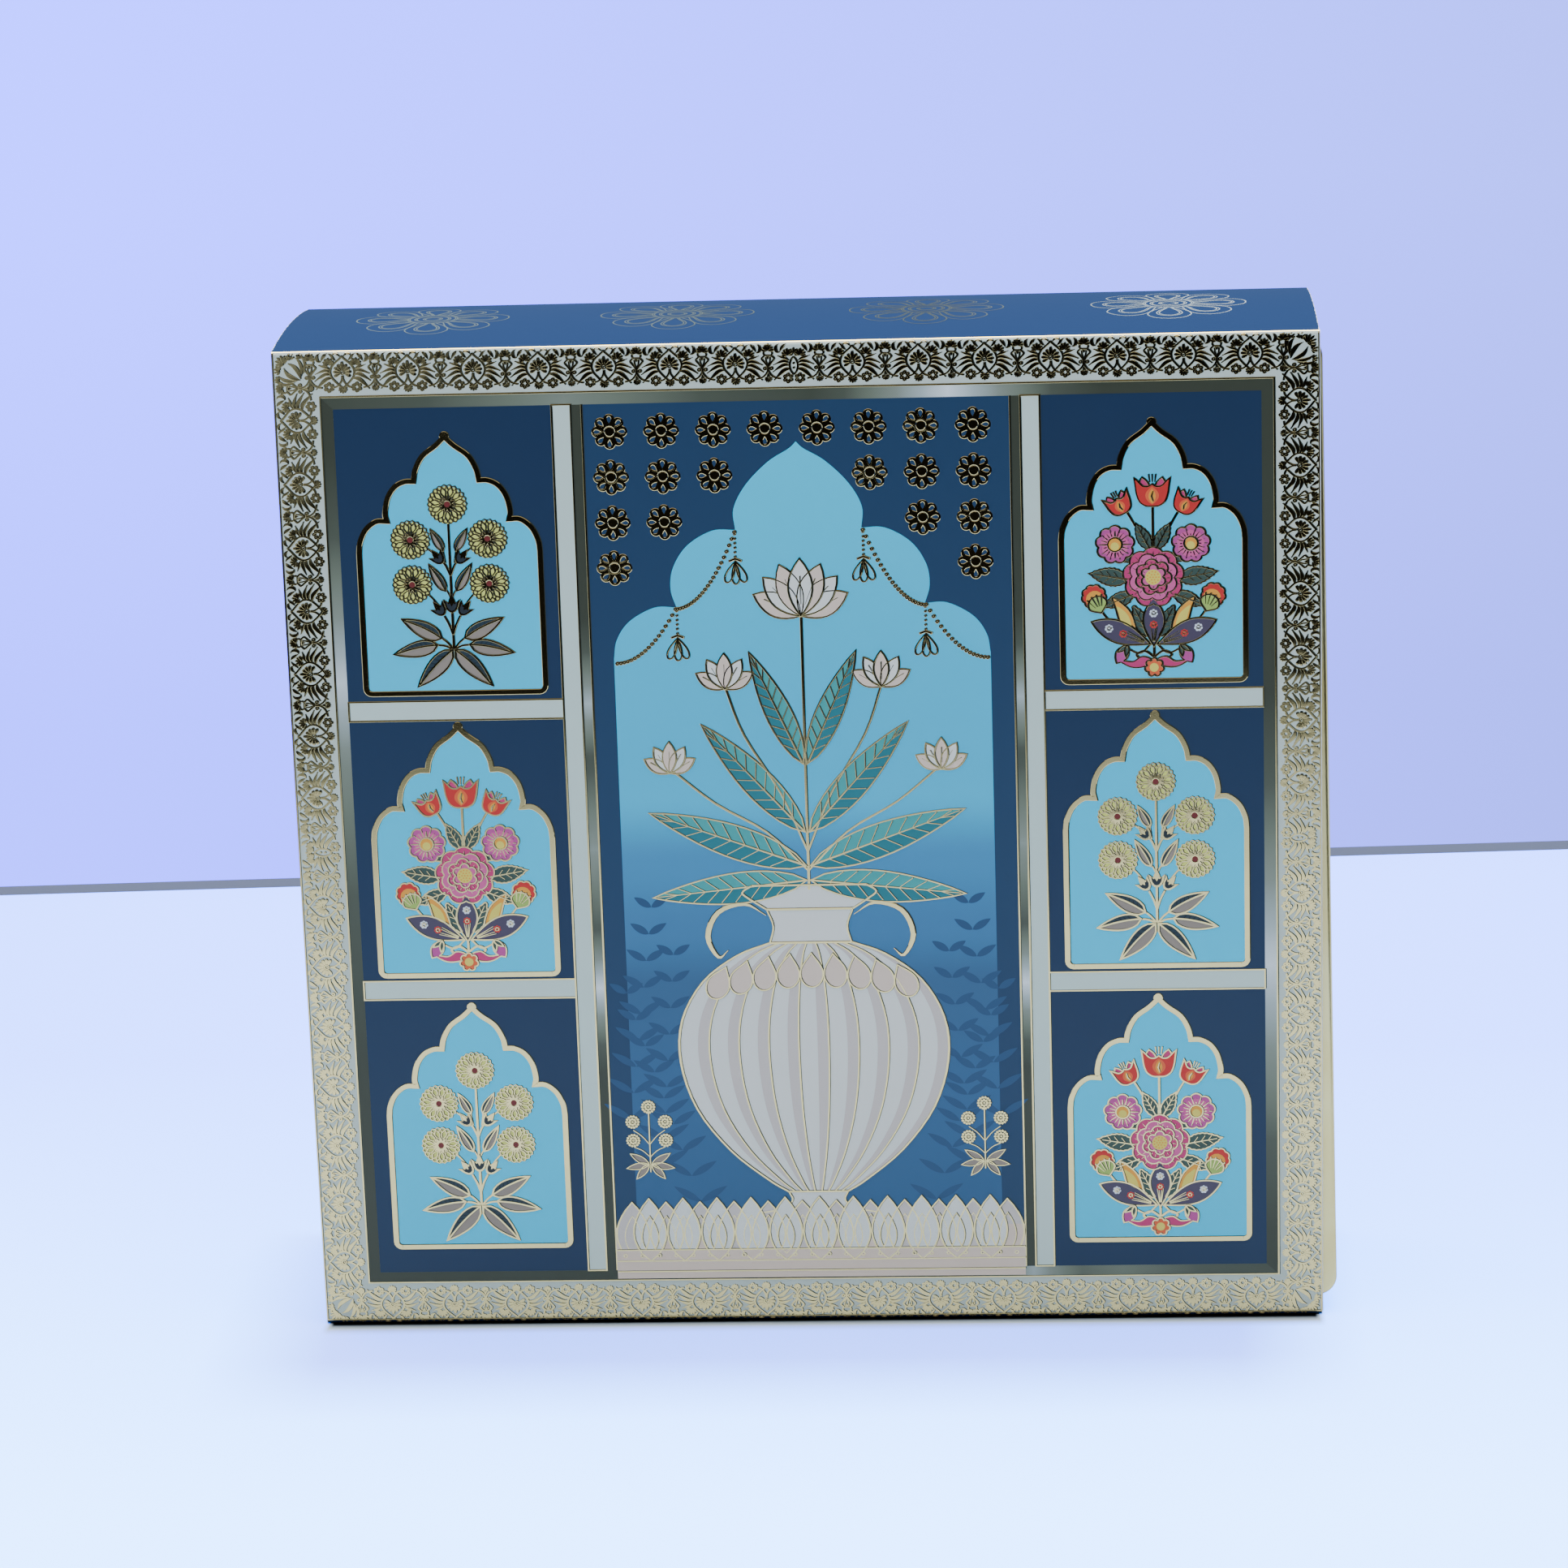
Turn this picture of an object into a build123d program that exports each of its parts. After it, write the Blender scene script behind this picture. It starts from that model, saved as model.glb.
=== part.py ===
from build123d import *
import math
import os

os.makedirs("parts", exist_ok=True)

# Sleeve: one folded and glued paperboard tube, open at its left and right ends
sleeve_width = 204.0
sleeve_height = 202.5
sleeve_depth = 50.8
board = 0.6
fold_inner_radius = 0.3
front_bow = 1.5
top_bow = 1.4
glue_flap = 15.0
glue_flap_mitre = 6.0

# Tray: one thin gold moulding with a flat ledge, a skirt around it and a well in it
tray_short = 1.0
tray_reach = 3.1
tray_tilt = 0.7
tray_setback = 2.4
tray_top_play = 1.3
tray_floor_play = 0.15
tray_back_play = 0.4
tray_corner = 4.0
tray_edge_round = 1.0
film = 0.8
ledge = 5.0
ledge_round = 0.6
skirt_drop = 2.0
draft = 2.0
well_corner = 5.0
well_round = 1.2

# Packing in the well: a pad on its floor and slotted strips that part it into cells
pad = 0.6
pad_play = 0.2
cells_across = 4
cells_up = 4
strip = 0.6
strip_drop = 2.0
strip_end_play = 0.3
slot_play = 0.1

# The origin is under the middle of everything, on the face that the box stands on
sleeve_left = -(sleeve_width + tray_reach) / 2
sleeve_right = sleeve_left + sleeve_width
back_y = (sleeve_depth + front_bow) / 2
front_y = back_y - sleeve_depth
inner_height = sleeve_height - 2 * board

# The tray lies askew in the loose sleeve, its low left corner on the sleeve's floor
tilt = math.radians(tray_tilt)
tray_width = sleeve_width - tray_short
tray_span = inner_height - tray_top_play - tray_floor_play
straight_width = tray_width - 2 * tray_corner
straight_height = tray_span - 2 * tray_corner - straight_width * math.sin(tilt)
straight_height = straight_height / math.cos(tilt)
tray_height = straight_height + 2 * tray_corner
tray_depth = sleeve_depth - tray_setback - 2 * board - tray_back_play
tray_half_span_x = (straight_width * math.cos(tilt) + straight_height * math.sin(tilt)) / 2
tray_x = sleeve_right + tray_reach - tray_corner - tray_half_span_x
tray_z = board + tray_floor_play + tray_span / 2
across = Vector(math.cos(tilt), 0, math.sin(tilt))
up = Vector(-math.sin(tilt), 0, math.cos(tilt))
inward = Vector(0, 1, 0)
tray_front = Plane(
    origin=(tray_x, front_y + tray_setback, tray_z), x_dir=across, z_dir=-inward
)

# The well's walls lean in by the draft, so its size shrinks with depth
well_depth = tray_depth - skirt_drop - film
well_width = tray_width - 2 * ledge
well_height = tray_height - 2 * ledge
strip_foot = well_depth - pad
strip_width = strip_foot - strip_drop
slot_width = strip + 2 * slot_play
strip_corner_cut = well_round + strip_end_play


def lean(depth):
    """How far the well's wall has moved inward at a depth below the ledge."""
    return depth * math.tan(math.radians(draft))


# Sleeve
with BuildPart() as sleeve:
    with BuildSketch(Plane.YZ.offset(sleeve_left)) as section:
        with BuildLine():
            Line((front_y, 0), (back_y, 0))
            Line((back_y, 0), (back_y, sleeve_height))
            ThreePointArc(
                (back_y, sleeve_height),
                ((front_y + back_y) / 2, sleeve_height + top_bow),
                (front_y, sleeve_height),
            )
            ThreePointArc(
                (front_y, sleeve_height),
                (front_y - front_bow, sleeve_height / 2),
                (front_y, 0),
            )
        make_face()
        fillet(section.vertices(), radius=board + fold_inner_radius)
        offset(amount=-board, mode=Mode.SUBTRACT)
    extrude(amount=sleeve_width)
    # The flap that closes the tube is glued inside the back wall, above its lower fold
    flap_plane = Plane(
        origin=((sleeve_left + sleeve_right) / 2, back_y - board, 0),
        x_dir=(1, 0, 0),
        z_dir=(0, -1, 0),
    )
    with BuildSketch(flap_plane):
        half = sleeve_width / 2
        with BuildLine():
            Polyline(
                (-half, board),
                (half, board),
                (half - glue_flap_mitre, board + glue_flap),
                (glue_flap_mitre - half, board + glue_flap),
                close=True,
            )
        make_face()
    extrude(amount=board)
sleeve.part.label = "sleeve"
export_step(sleeve.part, "parts/sleeve.step")

# Tray: ledge and skirt first, then the well that hangs from the ledge
with BuildPart() as tray:
    with BuildSketch(tray_front):
        RectangleRounded(tray_width, tray_height, tray_corner)
    extrude(amount=-tray_depth)
    fillet(tray.faces().sort_by(Axis.Y)[0].edges(), radius=tray_edge_round)
    with BuildSketch(tray_front.offset(-tray_depth)):
        RectangleRounded(tray_width - 2 * film, tray_height - 2 * film, tray_corner - film)
    extrude(amount=tray_depth - film, mode=Mode.SUBTRACT)
    with BuildSketch(tray_front):
        RectangleRounded(well_width + 2 * film, well_height + 2 * film, well_corner + film)
    extrude(amount=-(well_depth + film), taper=draft)
    fillet(tray.faces(Select.LAST).sort_by(Axis.Y)[-1].edges(), radius=well_round + film)
    with BuildSketch(tray_front):
        RectangleRounded(well_width, well_height, well_corner)
    extrude(amount=-well_depth, taper=draft, mode=Mode.SUBTRACT)
    fillet(tray.faces(Select.LAST).sort_by(Axis.Y)[-1].edges(), radius=well_round)
    fillet(tray.faces().sort_by(Axis.Y)[0].inner_wires()[0].edges(), radius=ledge_round)
tray.part.label = "tray"
export_step(tray.part, "parts/tray.step")

# Pad: a loose sheet of greaseproof board that lies on the floor of the well
with BuildPart() as tray_pad:
    inset = 2 * (lean(well_depth) + well_round + pad_play)
    with BuildSketch(tray_front.offset(-strip_foot)):
        RectangleRounded(well_width - inset, well_height - inset, well_corner)
    extrude(amount=-pad)
tray_pad.part.label = "tray_pad"
export_step(tray_pad.part, "parts/tray_pad.step")


def divider(plane, well_size, crossings, slots_at_front):
    """One strip that stands on the pad, slotted half way where the others cross it.

    The plane's first axis runs along the strip and its second one into the tray.
    """
    front_half = well_size / 2 - lean(strip_drop) - strip_end_play
    foot_half = well_size / 2 - lean(strip_foot) - strip_end_play
    slot_depth = strip_width / 2 + slot_play
    slot_y = strip_drop + slot_depth / 2 if slots_at_front else strip_foot - slot_depth / 2
    with BuildPart() as wall:
        with BuildSketch(plane):
            with BuildLine():
                Polyline(
                    (-front_half, strip_drop),
                    (front_half, strip_drop),
                    (foot_half, strip_foot - strip_corner_cut),
                    (foot_half - strip_corner_cut, strip_foot),
                    (strip_corner_cut - foot_half, strip_foot),
                    (-foot_half, strip_foot - strip_corner_cut),
                    close=True,
                )
            make_face()
            with Locations([(x, slot_y) for x in crossings]):
                Rectangle(slot_width, slot_depth, mode=Mode.SUBTRACT)
        extrude(amount=strip / 2, both=True)
    return wall


# Dividers: level ones slotted from their front edge, upright ones from their foot
columns = [well_width * (n / cells_across - 0.5) for n in range(1, cells_across)]
rows = [well_height * (n / cells_up - 0.5) for n in range(1, cells_up)]
for n, row in enumerate(rows, start=1):
    level = Plane(origin=tray_front.origin + up * row, x_dir=across, z_dir=up)
    level_divider = divider(level, well_width, columns, True)
    level_divider.part.label = f"level_divider_{n}"
    export_step(level_divider.part, f"parts/level_divider_{n}.step")
for n, column in enumerate(columns, start=1):
    upright = Plane(origin=tray_front.origin + across * column, x_dir=up, z_dir=-across)
    upright_divider = divider(upright, well_height, rows, False)
    upright_divider.part.label = f"upright_divider_{n}"
    export_step(upright_divider.part, f"parts/upright_divider_{n}.step")
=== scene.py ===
import math

import bmesh
import bpy
import numpy as np
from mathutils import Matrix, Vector
from mathutils.geometry import tessellate_polygon


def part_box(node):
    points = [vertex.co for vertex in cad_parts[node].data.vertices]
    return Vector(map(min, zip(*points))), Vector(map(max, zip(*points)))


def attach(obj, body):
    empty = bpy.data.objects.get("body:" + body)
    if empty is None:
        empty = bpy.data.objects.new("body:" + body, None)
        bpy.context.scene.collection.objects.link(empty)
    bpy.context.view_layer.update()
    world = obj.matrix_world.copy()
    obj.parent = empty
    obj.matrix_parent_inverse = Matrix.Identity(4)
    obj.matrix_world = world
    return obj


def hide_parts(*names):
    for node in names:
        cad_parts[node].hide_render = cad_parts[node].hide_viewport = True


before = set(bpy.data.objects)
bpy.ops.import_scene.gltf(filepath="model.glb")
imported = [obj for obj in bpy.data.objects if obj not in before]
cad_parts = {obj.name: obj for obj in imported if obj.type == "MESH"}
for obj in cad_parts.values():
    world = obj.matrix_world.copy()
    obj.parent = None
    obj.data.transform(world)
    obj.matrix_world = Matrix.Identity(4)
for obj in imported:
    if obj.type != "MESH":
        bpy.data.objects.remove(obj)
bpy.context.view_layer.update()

# Sizes in millimetres; the drawing on the box is laid out in them and turned to metres at the end
MM = 0.001
BOARD = 0.6
FOLD_RADIUS = 0.9
FRONT_BOW = 1.5
TOP_BOW = 1.4
GLUE_FLAP = 15.0
GLUE_FLAP_MITRE = 6.0

low, high = (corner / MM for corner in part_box("sleeve"))
WIDTH = high.x - low.x
HALF = WIDTH / 2
MIDDLE_X = (low.x + high.x) / 2
BACK_Y = high.y
FRONT_Y = low.y + FRONT_BOW
HEIGHT = high.z - TOP_BOW

# Thin relief of the print and the stamped foil, above the face of the board
GROUND = 0.012
FIELD = 0.024
ARCH = 0.036
PICTURE = 0.048
LAYER = 0.012
HAIR = 0.002
HAIRS = 5
FOIL_BEVEL = 0.16
FOIL_SLOPE = 0.4
BEVEL_SHARE = 0.28
MITRE_LIMIT = 0.25
LONGEST_FACE = 8.0
FOLD_STEPS = 8

# Painted shadow of the stamped foil: a dark band under each foil line, shifted to the upper right
# of it
FOIL_SHADOW_SHIFT = (0.16, 0.07)
FOIL_SHADOW_DROP = 0.001


# Flat drawing
def spline(points, steps=4, closed=False):
    """A smooth curve through the points."""
    p = np.asarray(points, float)
    if closed:
        p = np.vstack([p[-1:], p, p[:2]])
    else:
        p = np.vstack([2 * p[0] - p[1], p, 2 * p[-1] - p[-2]])
    a, b, c, d = p[:-3, None], p[1:-2, None], p[2:-1, None], p[3:, None]
    t = (np.arange(steps) / steps)[None, :, None]
    curve = b + t / 2 * (c - a + t * (2 * a - 5 * b + 4 * c - d + t * (3 * (b - c) + d - a)))
    curve = curve.reshape(-1, 2)
    return curve if closed else np.vstack([curve, p[-2]])


def circle(centre, radius, steps=16):
    """The corners of a closed round outline."""
    turn = np.linspace(0, 2 * math.pi, steps, endpoint=False)
    return np.asarray(centre, float) + radius * np.stack([np.cos(turn), np.sin(turn)], 1)


def flip(points):
    """The mirror image across the upright axis, still drawn in the same sense."""
    return np.asarray(points, float)[::-1] * (-1, 1)


def symmetric(half):
    """A closed outline from its right half, drawn from top to bottom."""
    half = np.asarray(half, float)
    return np.vstack([flip(half)[:-1] if half[0][0] == 0 else flip(half), half])


def place(points, at=(0, 0), degrees=0.0, scale=1.0):
    """The points scaled, turned anticlockwise and moved."""
    c, s = math.cos(math.radians(degrees)), math.sin(math.radians(degrees))
    turned = np.asarray(points, float) * scale @ np.array([(c, s), (-s, c)])
    return turned + np.asarray(at, float)


def fine(points, step=0.35, closed=True):
    """The same path with points added, so that none lie further apart than the step."""
    points = np.asarray(points, float)
    ends = np.roll(points, -1, 0) if closed else points[1:]
    parts = []
    for start, end in zip(points, ends):
        count = max(1, math.ceil(np.linalg.norm(end - start) / step))
        parts.append(start + (end - start) * (np.arange(count) / count)[:, None])
    return np.vstack(parts if closed else [*parts, points[-1:]])


def inside(outline, spots):
    """Whether each spot lies within a closed outline."""
    start, end = outline, np.roll(outline, -1, 0)
    x, z = spots[:, :1], spots[:, 1:]
    rise = np.where(end[:, 1] == start[:, 1], 1.0, end[:, 1] - start[:, 1])
    crossing = start[:, 0] + (z - start[:, 1]) * (end[:, 0] - start[:, 0]) / rise
    return (((start[:, 1] > z) != (end[:, 1] > z)) & (x < crossing)).sum(1) % 2 == 1


def leaf(length, width, belly=0.45, steps=9):
    """An outline pointed at both ends, from the origin upward, widest at the belly."""
    t = np.linspace(0, 1, steps + 1)
    half = width / 2 * np.sin(math.pi * t ** (math.log(0.5) / math.log(belly))) ** 0.85
    right = np.stack([half, t * length], 1)
    return np.vstack([right, flip(right)[1:-1]])


def leaf_sides(outline):
    """The right and the left part of a leaf, each closed along its middle."""
    tip = len(outline) // 2
    return outline[: tip + 1], np.vstack([outline[tip:], outline[:1]])


def petal(length, width, belly=0.62, steps=5):
    """An outline pointed at the origin and round at its upper end."""
    rise = np.linspace(0, 1, steps + 1)
    lower = np.stack([np.sin(rise * math.pi / 2) ** 1.15 * width / 2, rise * belly * length], 1)
    turn = np.linspace(0, math.pi / 2, steps + 1)[1:]
    upper = np.stack(
        [np.cos(turn) * width / 2, (belly + np.sin(turn) * (1 - belly)) * length], 1
    )
    right = np.vstack([lower, upper])
    return np.vstack([right, flip(right)[1:-1]])


def lobed(radius, count, lobe, steps=8):
    """The outline of overlapping round petals; each is a circle of the lobe's radius."""
    reach = radius - lobe
    gap = reach * math.sin(math.pi / count)
    end = 90 + 180 / count - math.degrees(math.acos(min(1.0, gap / lobe)))
    turn = np.radians(np.linspace(-end, end, steps + 1))
    arc = np.stack([reach + lobe * np.cos(turn), lobe * np.sin(turn)], 1)
    return np.vstack([place(arc, degrees=90 + 360 / count * i) for i in range(count)])


def swell(count, width, belly=0.45, least=0.12):
    """Widths along a line that thickens and runs out at its ends."""
    t = np.linspace(0, 1, count)
    return width * np.maximum(least, np.sin(math.pi * t ** (math.log(0.5) / math.log(belly))))


class Line:
    """One stamped line: the points of its middle, its width and whether it closes."""

    def __init__(self, points, width, closed=False):
        self.points = np.asarray(points, float)
        self.width = np.broadcast_to(np.asarray(width, float), len(self.points))
        self.closed = closed

    def moved(self, **how):
        """The same line scaled, turned and moved as place() does it."""
        return Line(place(self.points, **how), self.width * how.get("scale", 1.0), self.closed)

    def flipped(self):
        """The mirror image across the upright axis."""
        return Line(flip(self.points), self.width[::-1], self.closed)


def curve(points, width, steps=4):
    """A line of one width on a smooth curve through the points."""
    return Line(spline(points, steps), width)


def bead(centre, radius, width, steps=6):
    """A small line that closes around a point."""
    return Line(circle(centre, radius, steps), width, closed=True)


def blade(points, width, belly=0.45, steps=4):
    """A curved line that swells and runs out, as the leaves of the border do."""
    path = spline(points, steps)
    return Line(path, swell(len(path), width, belly))


def both_sides(lines):
    """The lines of the right half, and their mirror images."""
    return [*lines, *(line.flipped() for line in lines)]


def with_ends(path, width):
    """The line with a point just inside each end, where its slope to the board starts."""
    run = np.minimum(FOIL_BEVEL, width * 0.25 + 0.02)
    first = path[1] - path[0]
    final = path[-2] - path[-1]
    start = path[0] + first * min(0.5, run[0] / max(np.linalg.norm(first), 1e-6))
    end = path[-1] + final * min(0.5, run[-1] / max(np.linalg.norm(final), 1e-6))
    path = np.vstack([path[:1], start, path[1:-1], end, path[-1:]])
    return path, np.concatenate([width[:1], width[:1], width[1:-1], width[-1:], width[-1:]])


class Print:
    """Inks and foil drawn flat, in millimetres, before they are laid on a wall of the box."""

    def __init__(self, slope=FOIL_SLOPE, bevel=BEVEL_SHARE, painted_foil_shadow=FOIL_SHADOW_SHIFT):
        """Slope: how steep the bevels are; bevel: their share of half a line's width."""
        self.slope = slope
        self.bevel = bevel
        self.painted_foil_shadow = painted_foil_shadow
        self.patches = []
        self.shapes = 0

    def add(self, ink, points, faces):
        """Keeps the points (across, along, rise) and faces of one shape."""
        self.patches.append([ink, points, np.array(faces)])

    def cover(self, outline):
        """Takes away the stamped lines and their painted shadow behind a shape, whose tops would
        stand out through it.
        """
        for patch in self.patches:
            ink, points, faces = patch
            if ink in ("foil", "painted_foil_shadow") and len(faces):
                patch[2] = faces[~inside(outline, points[faces].mean(1)[:, :2])]

    def mesh(self):
        """Points, faces, the ink of each face and the inks' names, without unused points."""
        patches = [patch for patch in self.patches if len(patch[2])]
        names = list(dict.fromkeys(ink for ink, _, _ in patches))
        points, faces, face_inks, start = [], [], [], 0
        for ink, corners, patch_faces in patches:
            used, index = np.unique(patch_faces, return_inverse=True)
            points.append(corners[used])
            faces += (index.reshape(patch_faces.shape) + start).tolist()
            face_inks += [names.index(ink)] * len(patch_faces)
            start += len(used)
        return np.vstack(points), faces, face_inks, names

    def rise(self, base, layer):
        """Each shape lies a hair above the last, so that no two faces coincide."""
        self.shapes += 1
        return base + layer * LAYER + self.shapes % HAIRS * HAIR

    def fill(self, ink, outline, layer=0, base=PICTURE, holes=()):
        """A flat printed shape, with or without holes in it."""
        loops = [np.asarray(loop, float) for loop in (outline, *holes)]
        flat = np.vstack(loops)
        triangles = np.array(tessellate_polygon([[(x, z, 0) for x, z in loop] for loop in loops]))
        a, b, c = (flat[triangles[:, i]] for i in range(3))
        area = (b - a)[:, 0] * (c - a)[:, 1] - (b - a)[:, 1] * (c - a)[:, 0]
        triangles[area < 0] = triangles[area < 0][:, ::-1]
        level = np.full((len(flat), 1), self.rise(base, layer))
        self.add(ink, np.hstack([flat, level]), triangles[area != 0].tolist())

    def stroke(self, ink, line, layer=0, base=GROUND):
        """A stamped line with a flat top and a bevel on each side, over a dark band of painted
        shadow.
        """
        path, width = line.points, line.width
        if not line.closed:
            path, width = with_ends(path, width)
        ahead = np.roll(path, -1, 0) - path
        if not line.closed:
            ahead[-1] = ahead[-2]
        ahead = ahead / np.maximum(np.linalg.norm(ahead, axis=1, keepdims=True), 1e-9)
        behind = np.roll(ahead, 1, 0)
        if not line.closed:
            behind[0] = ahead[0]
        normal = np.stack([-(ahead + behind)[:, 1], (ahead + behind)[:, 0]], 1)
        mitre = normal / np.maximum(1 + (ahead * behind).sum(1, keepdims=True), MITRE_LIMIT)
        half = width / 2
        bevel = np.minimum(FOIL_BEVEL, half * self.bevel)
        foot = self.rise(base, layer)
        top = foot + self.slope * bevel
        if not line.closed:
            top[[0, -1]] = foot
        rows = ((-half, foot), (bevel - half, top), (half - bevel, top), (half, foot))
        self.ribbon(ink, path, mitre, rows, line.closed)
        # Painted shadow: a dark band under the foil line, shifted to the upper right
        if self.painted_foil_shadow:
            moved = path + self.painted_foil_shadow
            rows = ((-half, foot - FOIL_SHADOW_DROP), (half, foot - FOIL_SHADOW_DROP))
            self.ribbon("painted_foil_shadow", moved, mitre, rows, line.closed)
        return float(np.max(top))

    def ribbon(self, ink, path, mitre, rows, closed):
        """Faces along a path between rows that lie (off its middle, above the board)."""
        points = []
        for offset, level in rows:
            level = np.broadcast_to(level, len(path))[:, None]
            points.append(np.hstack([path + mitre * offset[:, None], level]))
        points = np.stack(points, 1).reshape(-1, 3)
        wide = len(rows)
        faces = []
        for i in range(len(path) if closed else len(path) - 1):
            here, there = wide * i, wide * ((i + 1) % len(path))
            faces += [(here + j, there + j, there + j + 1, here + j + 1) for j in range(wide - 1)]
        self.add(ink, points, faces)

    def solid(self, ink, outline, layer=0, base=GROUND, rim=0.3):
        """A stamped shape with a flat top and a bevel around it."""
        outline = np.asarray(outline, float)
        level = self.stroke(ink, Line(outline, rim, closed=True), layer, base)
        self.fill(ink, outline, 0, level)
        return level

    def stamp(self, points, width, layer=0, base=PICTURE, closed=False):
        """A line of foil through the points."""
        return self.stroke("foil", Line(points, width, closed), layer, base)

    def ring(self, points, width, layer=0, base=PICTURE):
        """A line of foil that closes."""
        return self.stamp(points, width, layer, base, closed=True)

    def stamps(self, lines, at, degrees=0.0, layer=0, base=PICTURE):
        """Lines of foil that were drawn about the origin."""
        for line in lines:
            self.stroke("foil", line.moved(at=at, degrees=degrees), layer, base)

    def edged(self, ink, outline, width, layer):
        """A printed shape with a line of foil around it."""
        self.fill(ink, outline, layer)
        self.ring(outline, width, layer)


# Walls of the box: a closed section that a drawing is laid around
def wall_points(start, end, bulge, steps):
    """Points from start to end, in (y, z), that bulge out to the left of that way."""
    start, end = np.array(start, float), np.array(end, float)
    way = end - start
    left = np.array((-way[1], way[0])) / np.linalg.norm(way)
    t = np.linspace(0, 1, steps + 1)[:, None]
    return start + way * t + left * bulge * 4 * t * (1 - t)


def rounded_corner(before, after, radius, steps=FOLD_STEPS):
    """The points of the fold between two walls, which turns clockwise."""
    corner = before[-1]
    came = (before[-1] - before[-2]) / np.linalg.norm(before[-1] - before[-2])
    goes = (after[1] - after[0]) / np.linalg.norm(after[1] - after[0])
    angle = math.acos(float(came @ goes))
    start = corner - came * radius * math.tan(angle / 2)
    centre = start + np.array((came[1], -came[0])) * radius
    turned = []
    for step in np.linspace(0, angle, steps + 1):
        c, s = math.cos(-step), math.sin(-step)
        arm = start - centre
        turned.append(centre + (c * arm[0] - s * arm[1], s * arm[0] + c * arm[1]))
    return np.array(turned)


class Wrap:
    """The section of the sleeve, measured along its outline so that the front runs from 0 up."""

    def __init__(self):
        middle = (FRONT_Y + BACK_Y) / 2
        walls = [
            wall_points((middle, 0), (FRONT_Y, 0), 0, 8),
            wall_points((FRONT_Y, 0), (FRONT_Y, HEIGHT), FRONT_BOW, 60),
            wall_points((FRONT_Y, HEIGHT), (BACK_Y, HEIGHT), TOP_BOW, 40),
            wall_points((BACK_Y, HEIGHT), (BACK_Y, 0), 0, 24),
            wall_points((BACK_Y, 0), (middle, 0), 0, 8),
        ]
        parts = [walls[0][:-1]]
        for before, after in zip(walls[:3], walls[1:4]):
            parts += [rounded_corner(before, after, FOLD_RADIUS), after[1:-1]]
        parts += [rounded_corner(walls[3], walls[4], FOLD_RADIUS), walls[4][1:]]
        self.points = np.vstack(parts)
        step = np.diff(self.points, axis=0)
        length = np.linalg.norm(step, axis=1)
        along = np.concatenate([[0], np.cumsum(length)])
        front = len(walls[0]) + FOLD_STEPS + len(walls[1]) // 2 - 1
        self.along = along - along[front] + HEIGHT / 2
        top = front + len(walls[1]) // 2 + FOLD_STEPS + len(walls[2]) // 2
        self.top_middle = self.along[top]
        normal = np.stack([-step[:, 1], step[:, 0]], 1) / length[:, None]
        normal = np.vstack([normal[-1:], normal]) + np.vstack([normal, normal[:1]])
        self.normal = normal / np.linalg.norm(normal, axis=1, keepdims=True)

    def lay(self, points):
        """Points (across, along, rise) of a drawing, laid on the sleeve, in metres."""
        across, along, rise = points.T
        y, z, ny, nz = (
            np.interp(along, self.along, column)
            for column in (*self.points.T, *self.normal.T)
        )
        return np.stack([MIDDLE_X + across, y + ny * rise, z + nz * rise], 1) * MM


def mesh_object(name, points, faces, materials, face_materials, smooth=False):
    """A new object in the scene, with one material index for each face."""
    mesh = bpy.data.meshes.new(name)
    mesh.from_pydata([tuple(p) for p in points], [], faces)
    for material in materials:
        mesh.materials.append(material)
    mesh.polygons.foreach_set("material_index", face_materials)
    mesh.polygons.foreach_set("use_smooth", [smooth] * len(faces))
    mesh.update()
    made = bpy.data.objects.new(name, mesh)
    bpy.context.scene.collection.objects.link(made)
    return made


def cut_long_faces(points, faces, face_inks):
    """Cuts tall faces level, so that they follow the bow of the wall."""
    sheet = bmesh.new()
    corners = [sheet.verts.new(p) for p in points]
    for face, ink in zip(faces, face_inks):
        sheet.faces.new([corners[i] for i in face]).material_index = ink
    lowest, highest = points[:, 1].min(), points[:, 1].max()
    folds = np.linspace(0, 1.5 * FOLD_RADIUS, FOLD_STEPS)[1:]
    levels = [*folds, *np.arange(LONGEST_FACE, HEIGHT, LONGEST_FACE), *(HEIGHT - folds)]
    for level in levels:
        if not lowest < level < highest:
            continue
        everything = sheet.verts[:] + sheet.edges[:] + sheet.faces[:]
        bmesh.ops.bisect_plane(sheet, geom=everything, plane_co=(0, level, 0), plane_no=(0, 1, 0))
    sheet.verts.index_update()
    points = np.array([tuple(v.co) for v in sheet.verts])
    faces = [tuple(v.index for v in face.verts) for face in sheet.faces]
    face_inks = [face.material_index for face in sheet.faces]
    sheet.free()
    return points, faces, face_inks


def lay_print(name, drawing, wrap):
    """One printed piece that rides on the sleeve."""
    points, faces, face_inks, names = drawing.mesh()
    tallest = max(np.ptp(points[list(face), 1]) for face in faces)
    if tallest > LONGEST_FACE:
        points, faces, face_inks = cut_long_faces(points, faces, face_inks)
    inks = [INKS[ink] for ink in names]
    piece = mesh_object(name, wrap.lay(points), faces, inks, face_inks)
    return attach(piece, "sleeve")


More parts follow.
